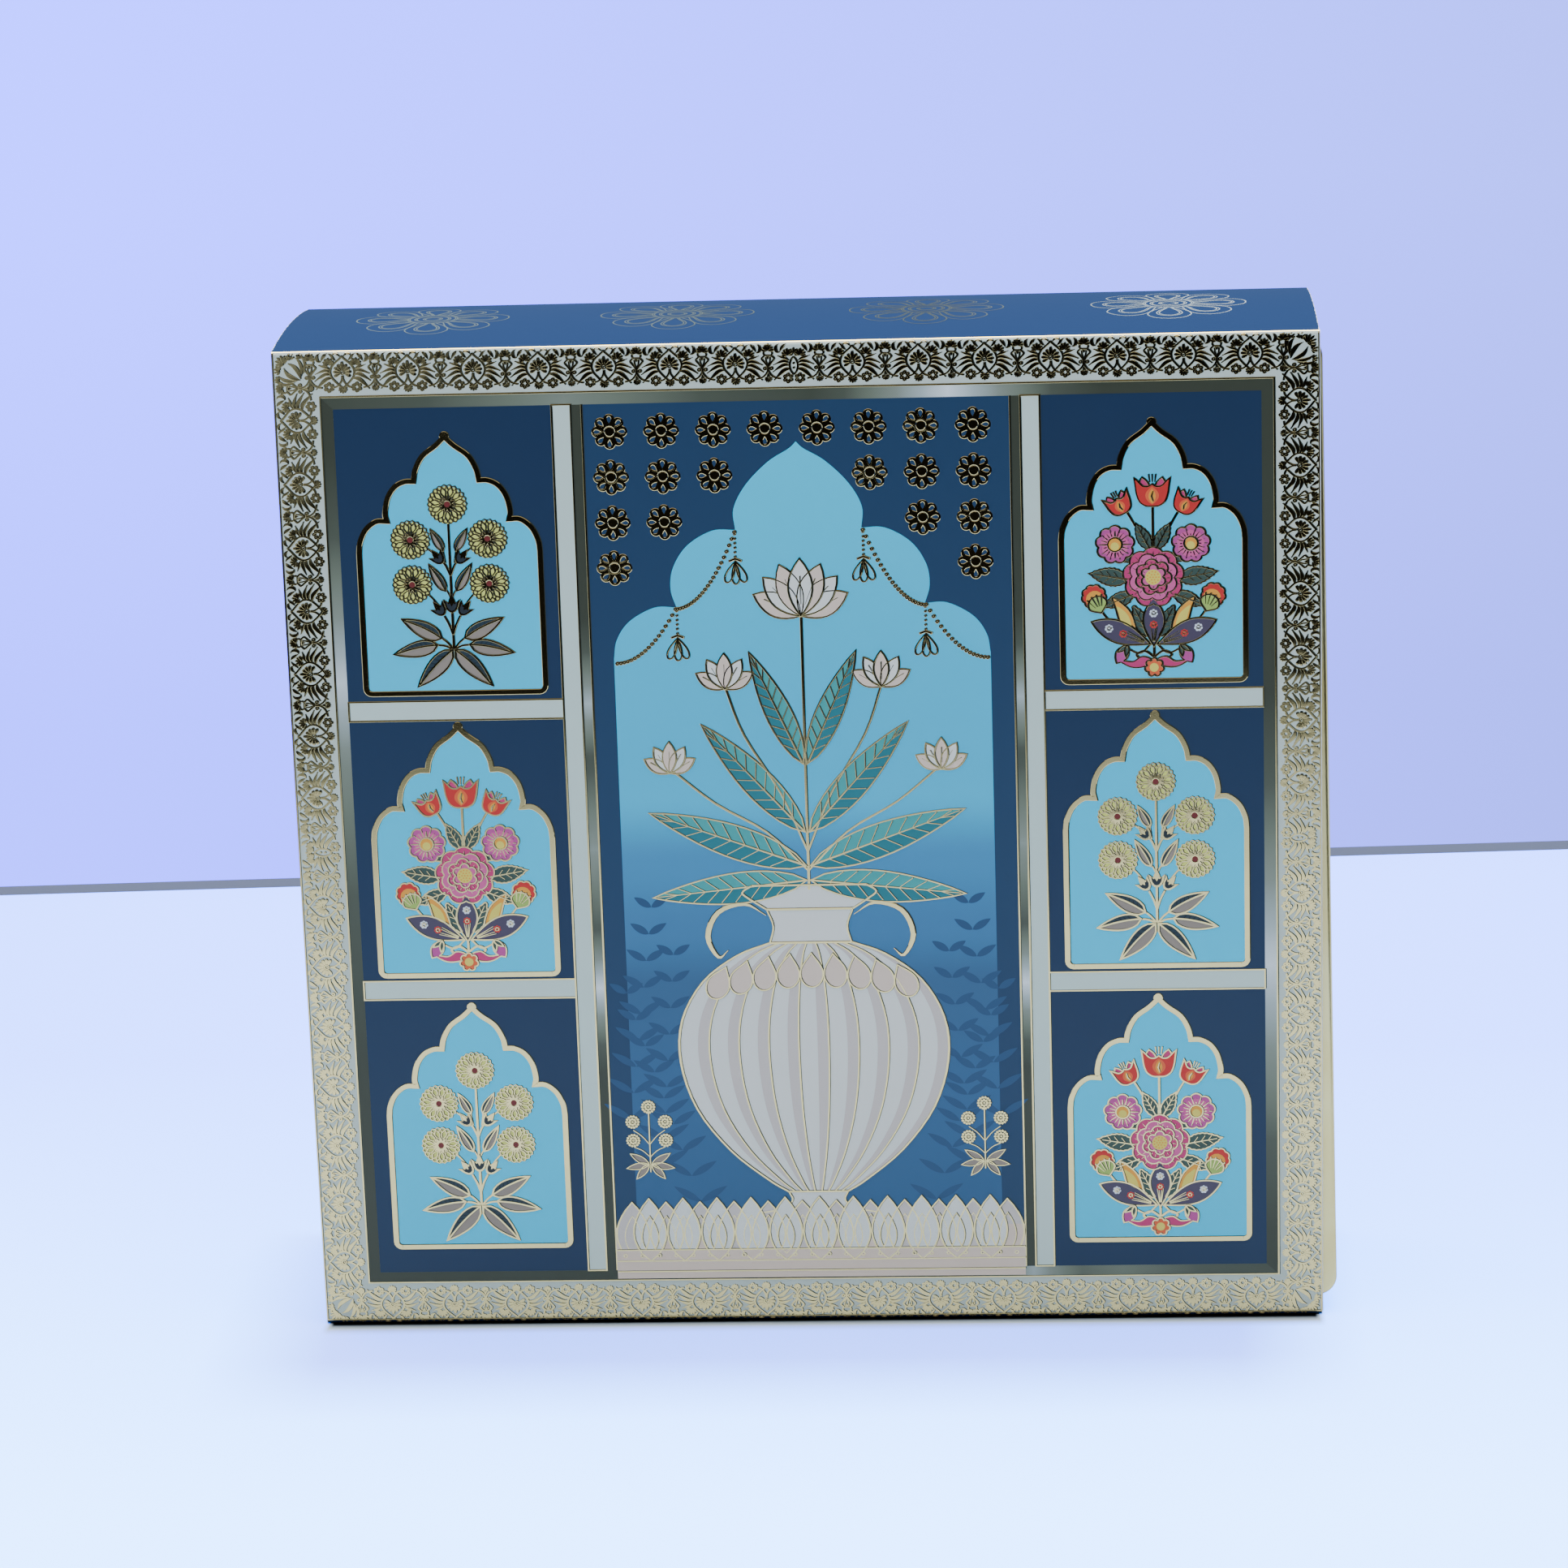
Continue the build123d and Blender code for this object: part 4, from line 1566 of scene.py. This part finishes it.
def small_plant(sheet, at):
    """The five-blossom plant again, small and all in foil."""
    at = np.asarray(at, float)
    stem = Line([(0, 1.5), (0, 15.0)], 0.24)
    branches = ([(0, 7.5), (1.5, 9.3), (3.2, 10.6)], [(0, 4.8), (1.5, 6.2), (3.2, 7.0)])
    sheet.stamps([stem, *both_sides([curve(branch, 0.2) for branch in branches])], at)
    for x, z in ((0, 15.6), (3.3, 12.4), (-3.3, 12.4), (3.3, 8.4), (-3.3, 8.4)):
        centre = at + (x, z)
        for ring_radius, count in ((1.2, 14), (0.62, 8)):
            for i in range(count):
                dot = place([(ring_radius, 0)], centre, 360 / count * i)[0]
                sheet.ring(circle(dot, 0.13, 5), 0.3, 1)
        sheet.ring(circle(centre, 0.14, 6), 0.2, 1)
    for side in (1, -1):
        for degrees, length in ((-58, 4.4), (-100, 4.6), (-140, 4.0)):
            outline = place(leaf(length, 1.35), at + (side * 0.3, 3.2), side * degrees)
            sheet.fill("leaf_grey", outline, layer=0)
            sheet.ring(outline, 0.22, 1)


LOTUS_LEAVES = (
    (94.0, -96, 31.0, 6.4),
    (97.0, -70, 33.0, 6.8),
    (104.0, -42, 30.0, 6.2),
    (118.0, -24, 25.0, 5.2),
)


def lotus_plant(sheet, middle):
    """Three stems out of the urn with a lotus on each, and long leaves between them."""
    stems = both_sides([
        curve([(0, 100), (5, 112), (12, 124), (15.5, 134)], 0.42),
        curve([(0, 96), (8, 104), (18, 110), (26.5, 117)], 0.42),
    ])
    sheet.stamps(stems, (middle, 0))
    sheet.stamp([(middle, 92), (middle, 150)], 0.5)
    for side in (1, -1):
        for base, degrees, length, width in LOTUS_LEAVES:
            root = (middle + side * 0.4, base)
            veined_leaf(sheet, root, side * degrees, length, width, side)
        lotus(sheet, (middle + side * 15.5, 133.5), 7.2, 5)
        lotus(sheet, (middle + side * 27.0, 116.5), 6.4, 5)
    lotus(sheet, (middle, 148.0), 11.5)


def centre_picture(wrap):
    """The arch, the plant in it, its urn with the parapet, and the garlands."""
    middle = PANEL_MIDDLE - 0.05
    sky = Print()
    sky.fill("sky", place(centre_arch_outline(), (middle, 0)), base=FIELD)
    dusk_foliage(sky, middle)
    lay_print("centre_arch", sky, wrap)

    plant = Print()
    lotus_plant(plant, middle)
    lay_print("centre_flowers", plant, wrap)

    vessel = Print()
    urn(vessel, middle)
    for side in (1, -1):
        small_plant(vessel, (middle + side * 34.0, 31.0))
    lotus_parapet(vessel)
    lay_print("centre_urn", vessel, wrap)

    swags = Print()
    lines = both_sides([
        *garland((12.6, 165.0), (24.3, 149.8), 3.4, 22),
        *garland((24.7, 149.8), (36.6, 139.0), 2.6, 18),
        *tassel(12.6, 164.6, 5.4),
        *tassel(24.5, 149.4, 5.4),
    ])
    swags.stamps(lines, (middle, 0))
    lay_print("centre_garlands", swags, wrap)


# Top wall: four large outline flowers in foil lines, drawn as ink whose tone along the wall is
# painted reflection
TOP_FLOWERS = (-73.3, -24.2, 25.5, 73.5)
TOP_FLOWER_RISE = 1.2
TOP_LINE = 0.26
TOP_SLOPE = 0.1
TOP_RINGS = (5.0, 4.6, 3.6, 3.2, 1.9, 1.5)
TOP_PETAL = (
    [(0, 15.3), (2.6, 14.6), (4.1, 12.4), (4.1, 10.2), (3.0, 7.6), (1.7, 5.6), (1.3, 4.9)],
    [(0, 13.0), (1.7, 12.3), (2.5, 10.6), (2.1, 8.4), (1.1, 6.4), (0.7, 5.0)],
    [(0, 12.5), (1.3, 11.9), (2.0, 10.5), (1.65, 8.5), (0.75, 6.4), (0.35, 5.0)],
)


def top_flower(sheet, at):
    """Eight petals, each a loop around a double loop, about three double rings."""
    # The lines' tone along the wall is painted reflection
    for i in range(8):
        for shape in TOP_PETAL:
            line = Line(spline(symmetric(shape), 4), TOP_LINE)
            sheet.stroke("painted_reflection_line", line.moved(at=at, degrees=45 * i))
    for radius in TOP_RINGS:
        sheet.stroke("painted_reflection_line", Line(circle(at, radius, 32), TOP_LINE, closed=True))


def top_flowers(wrap):
    """The flowers in a row, each a piece of its own."""
    for number, x in enumerate(TOP_FLOWERS, start=1):
        sheet = Print(slope=TOP_SLOPE, painted_foil_shadow=None)
        top_flower(sheet, (x, wrap.top_middle + TOP_FLOWER_RISE))
        lay_print(f"top_flower_{number}", sheet, wrap)


# Tray, pad and dividers keep their CAD shapes
def dress_cad_nodes():
    """Gold film on the tray, and board on what lies in it."""
    film = gold_film("gold_film")
    pad = raw_board("greaseproof_board", GREASEPROOF, 2.0)
    strips = raw_board("divider_board", STRAWBOARD, 1.5)
    for name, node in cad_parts.items():
        if name == "sleeve":
            continue
        material = film if name == "tray" else pad if name == "tray_pad" else strips
        node.data.materials.clear()
        node.data.materials.append(material)


# Stage, light and camera: places in metres, and in millimetres where a material measures them
TABLE_REACH = 4.0
TABLE_EDGE = ((-4.0, 0.099), (4.0, 0.519))
LIP = 0.0025
SEAM_COLOUR = (0.1, 0.1, 0.1, 1)
SEAM_GLOW = (0.12, 0.15, 0.3, 1)

# The floor glows more from far to near, along the run
FLOOR_COLOUR = (0.5, 0.6, 0.72, 1)
FLOOR_GLOW_FAR = (0.0, 0.9, 8.1, 1)
FLOOR_GLOW_NEAR = (0.65, 3.3, 10.0, 1)
GLOW_RUN = (150.0, -120.0)
# The dimmer glow inside the painted shadow in front of the box
GLOW_IN_SHADOW = (0.0, 0.5, 4.6, 1)
NO_LIGHT = (0.0, 0.0, 0.0, 1)

# Painted shadow on the floor about the box, black at its foot: across it and ahead of it, from
# where it starts to where it is full
SHADOW_MIDDLE_X = -9.0
SHADOW_POOL = ((118.0, 92.0), (-78.0, -46.0))
SHADE = ((HALF + 0.7, HALF - 0.7), (FRONT_Y - 6.5, FRONT_Y - 3.0))
CONTACT_SHADOW = ((HALF - 0.4, HALF - 1.4), (FRONT_Y - 3.2, FRONT_Y - 0.8))
BEHIND = (BACK_Y + 6.0, BACK_Y)

# Dark cards on the floor, which only reflections show, and where the first one fades out
CARD_LEVEL = 0.001
DARK_COLOUR = (0.004, 0.004, 0.004, 1)
DARK_ROOM = ((-0.5, -4.0), (0.24, -4.0), (0.24, -0.15), (-0.5, -0.15))
DARK_SIDE = ((0.24, -4.0), (4.0, -4.0), (4.0, -0.05), (0.24, -0.05))
DARK_SLANT = 0.26
DARK_NEAR = (-290.0, -600.0)
DARK_LEFT = (-480.0, -245.0)


def seen_glow(nodes, colour):
    """Adds a glow that only the camera sees, so that it colours no other piece."""
    path = nodes.add("ShaderNodeLightPath")
    nodes.set(Emission_Color=colour)
    nodes.set(Emission_Strength=nodes.math("MULTIPLY", path.outputs["Is Camera Ray"], 1.0))


def stage_plane(name, corners, colour, roughness=0.5):
    """A flat piece of the stage and its nodes."""
    piece = mesh_object(name, corners, [tuple(range(len(corners)))], [], [0])
    nodes = MaterialNodes(name)
    nodes.set(Base_Color=colour, Roughness=roughness, Specular_IOR_Level=0.3)
    piece.data.materials.append(nodes.material)
    return piece, nodes


def near_box(nodes, wide, ahead, middle=MIDDLE_X):
    """1 on the floor under the box and in front of it, 0 further off."""
    across = nodes.off(nodes.axis("X"), middle)
    depth = nodes.axis("Y")
    share = nodes.math("MULTIPLY", nodes.level(across, *wide), nodes.level(depth, *ahead))
    return nodes.math("MULTIPLY", share, nodes.level(depth, *BEHIND))


def floor_look(nodes):
    """Brighter toward the camera, with a painted shadow in front of the box and a black painted
    contact shadow where it meets the floor.
    """
    glow = nodes.mix(nodes.level(nodes.axis("Y"), *GLOW_RUN), FLOOR_GLOW_FAR, FLOOR_GLOW_NEAR)
    # Painted shadow: the glow dims in front of the box
    glow = nodes.mix(near_box(nodes, *SHADOW_POOL, SHADOW_MIDDLE_X), glow, GLOW_IN_SHADOW)
    # Painted shade: the glow dies out at the box's foot
    seen_glow(nodes, nodes.mix(near_box(nodes, *SHADE), glow, NO_LIGHT))
    # Painted contact shadow: the floor's colour turns black where the box meets it
    nodes.set(Base_Color=nodes.mix(near_box(nodes, *CONTACT_SHADOW), FLOOR_COLOUR, NO_LIGHT))


def table():
    """The table's top and the dark seam along its far edge."""
    reach = TABLE_REACH
    (left, left_y), (right, right_y) = TABLE_EDGE
    top = [(-reach, -reach, 0), (reach, -reach, 0), (right, right_y, 0), (left, left_y, 0)]
    floor_look(stage_plane("floor", top, FLOOR_COLOUR, 0.3)[1])
    lip = [(left, left_y, 0), (right, right_y, 0), (right, right_y, LIP), (left, left_y, LIP)]
    seen_glow(stage_plane("table_lip", lip, SEAM_COLOUR, 0.9)[1], SEAM_GLOW)


def dark_cards():
    """Two dark cards in front of the box, so that its foil has something dark to show."""
    for name, corners in (("dark_room", DARK_ROOM), ("dark_side", DARK_SIDE)):
        corners = [(x, y, CARD_LEVEL) for x, y in corners]
        card, nodes = stage_plane(name, corners, DARK_COLOUR, 1.0)
        nodes.set(Specular_IOR_Level=0.0)
        if name == "dark_room":
            slant = nodes.math("MULTIPLY", nodes.axis("X"), DARK_SLANT)
            near = nodes.level(nodes.math("ADD", nodes.axis("Y"), slant), *DARK_NEAR)
            left = nodes.level(nodes.axis("X"), *DARK_LEFT)
            nodes.set(Alpha=nodes.math("MINIMUM", near, left))
        card.visible_camera = False
        card.visible_diffuse = False
        card.visible_shadow = False


# The backdrop: what the camera sees past the table, and the light that comes from it
BACKDROP_LEFT = (0.62, 0.76, 7.9, 1)
BACKDROP_RIGHT = (0.6, 0.77, 4.1, 1)
BACKDROP_LOW = (0.84, 0.82, 0.84, 1)
BACKDROP_LIGHT = (0.3, 0.34, 0.46, 1)
ROOM_LIGHT = (0.025, 0.03, 0.04, 1)


def backdrop():
    """A pale blue paper behind the table, brighter on its left and dimmer near its foot."""
    world = bpy.data.worlds.new("backdrop")
    world.use_nodes = True
    nodes = Nodes(world.node_tree)
    onward = nodes.add("ShaderNodeTexCoord").outputs["Generated"]
    way = nodes.add("ShaderNodeSeparateXYZ", Vector=onward).outputs
    seen = nodes.mix(nodes.level(way["X"], -0.2, 0.1), BACKDROP_LEFT, BACKDROP_RIGHT)
    seen = nodes.mix(nodes.level(way["Z"], -0.14, -0.24), seen, BACKDROP_LOW, "MULTIPLY")
    lit = nodes.mix(nodes.level(way["Y"], 0.2, 0.9), ROOM_LIGHT, BACKDROP_LIGHT)
    camera_ray = nodes.add("ShaderNodeLightPath").outputs["Is Camera Ray"]
    background = nodes.tree.nodes["Background"]
    nodes.join(background.inputs["Color"], nodes.mix(camera_ray, lit, seen))
    bpy.context.scene.world = world


# Soft lights: name, place, aim, size and watts
SOFTBOXES = (
    ("softbox_above", (-0.1, 0.0, 1.5), (-0.1, 0.0, 0), (2.0, 1.3), 84.0),
    ("softbox_front", (-0.2, -1.9, 1.5), (0, 0, 0.1), (2.4, 1.2), 4.5),
)
LIGHT_COLOUR = (0.96, 0.98, 1.0)


def lights():
    """A strong soft light over the box and a weak one in front of it."""
    for name, stands, aim, size, watts in SOFTBOXES:
        data = bpy.data.lights.new(name, "AREA")
        data.shape = "RECTANGLE"
        data.size, data.size_y = size
        data.energy = watts
        data.color = LIGHT_COLOUR
        light = bpy.data.objects.new(name, data)
        light.location = stands
        way = Vector(aim) - Vector(stands)
        light.rotation_euler = way.to_track_quat("-Z", "Y").to_euler()
        bpy.context.scene.collection.objects.link(light)


CAMERA_PLACE = (0.05300, -0.97263, 0.36694)
CAMERA_TURN = (75.053, 1.772, 3.077)
CAMERA_LENS = 113.5
CAMERA_SENSOR = 36.0


def camera():
    """The view of the photograph."""
    data = bpy.data.cameras.new("camera")
    data.lens = CAMERA_LENS
    data.sensor_width = CAMERA_SENSOR
    data.sensor_fit = "HORIZONTAL"
    viewer = bpy.data.objects.new("camera", data)
    viewer.location = CAMERA_PLACE
    viewer.rotation_euler = [math.radians(angle) for angle in CAMERA_TURN]
    bpy.context.scene.collection.objects.link(viewer)
    bpy.context.scene.camera = viewer


wrap = Wrap()
carton(wrap)
front_fields(wrap)
front_lines(wrap)
border(wrap)
niches(wrap)
centre_picture(wrap)
rosettes(wrap)
top_flowers(wrap)
dress_cad_nodes()
table()
dark_cards()
backdrop()
lights()
camera()
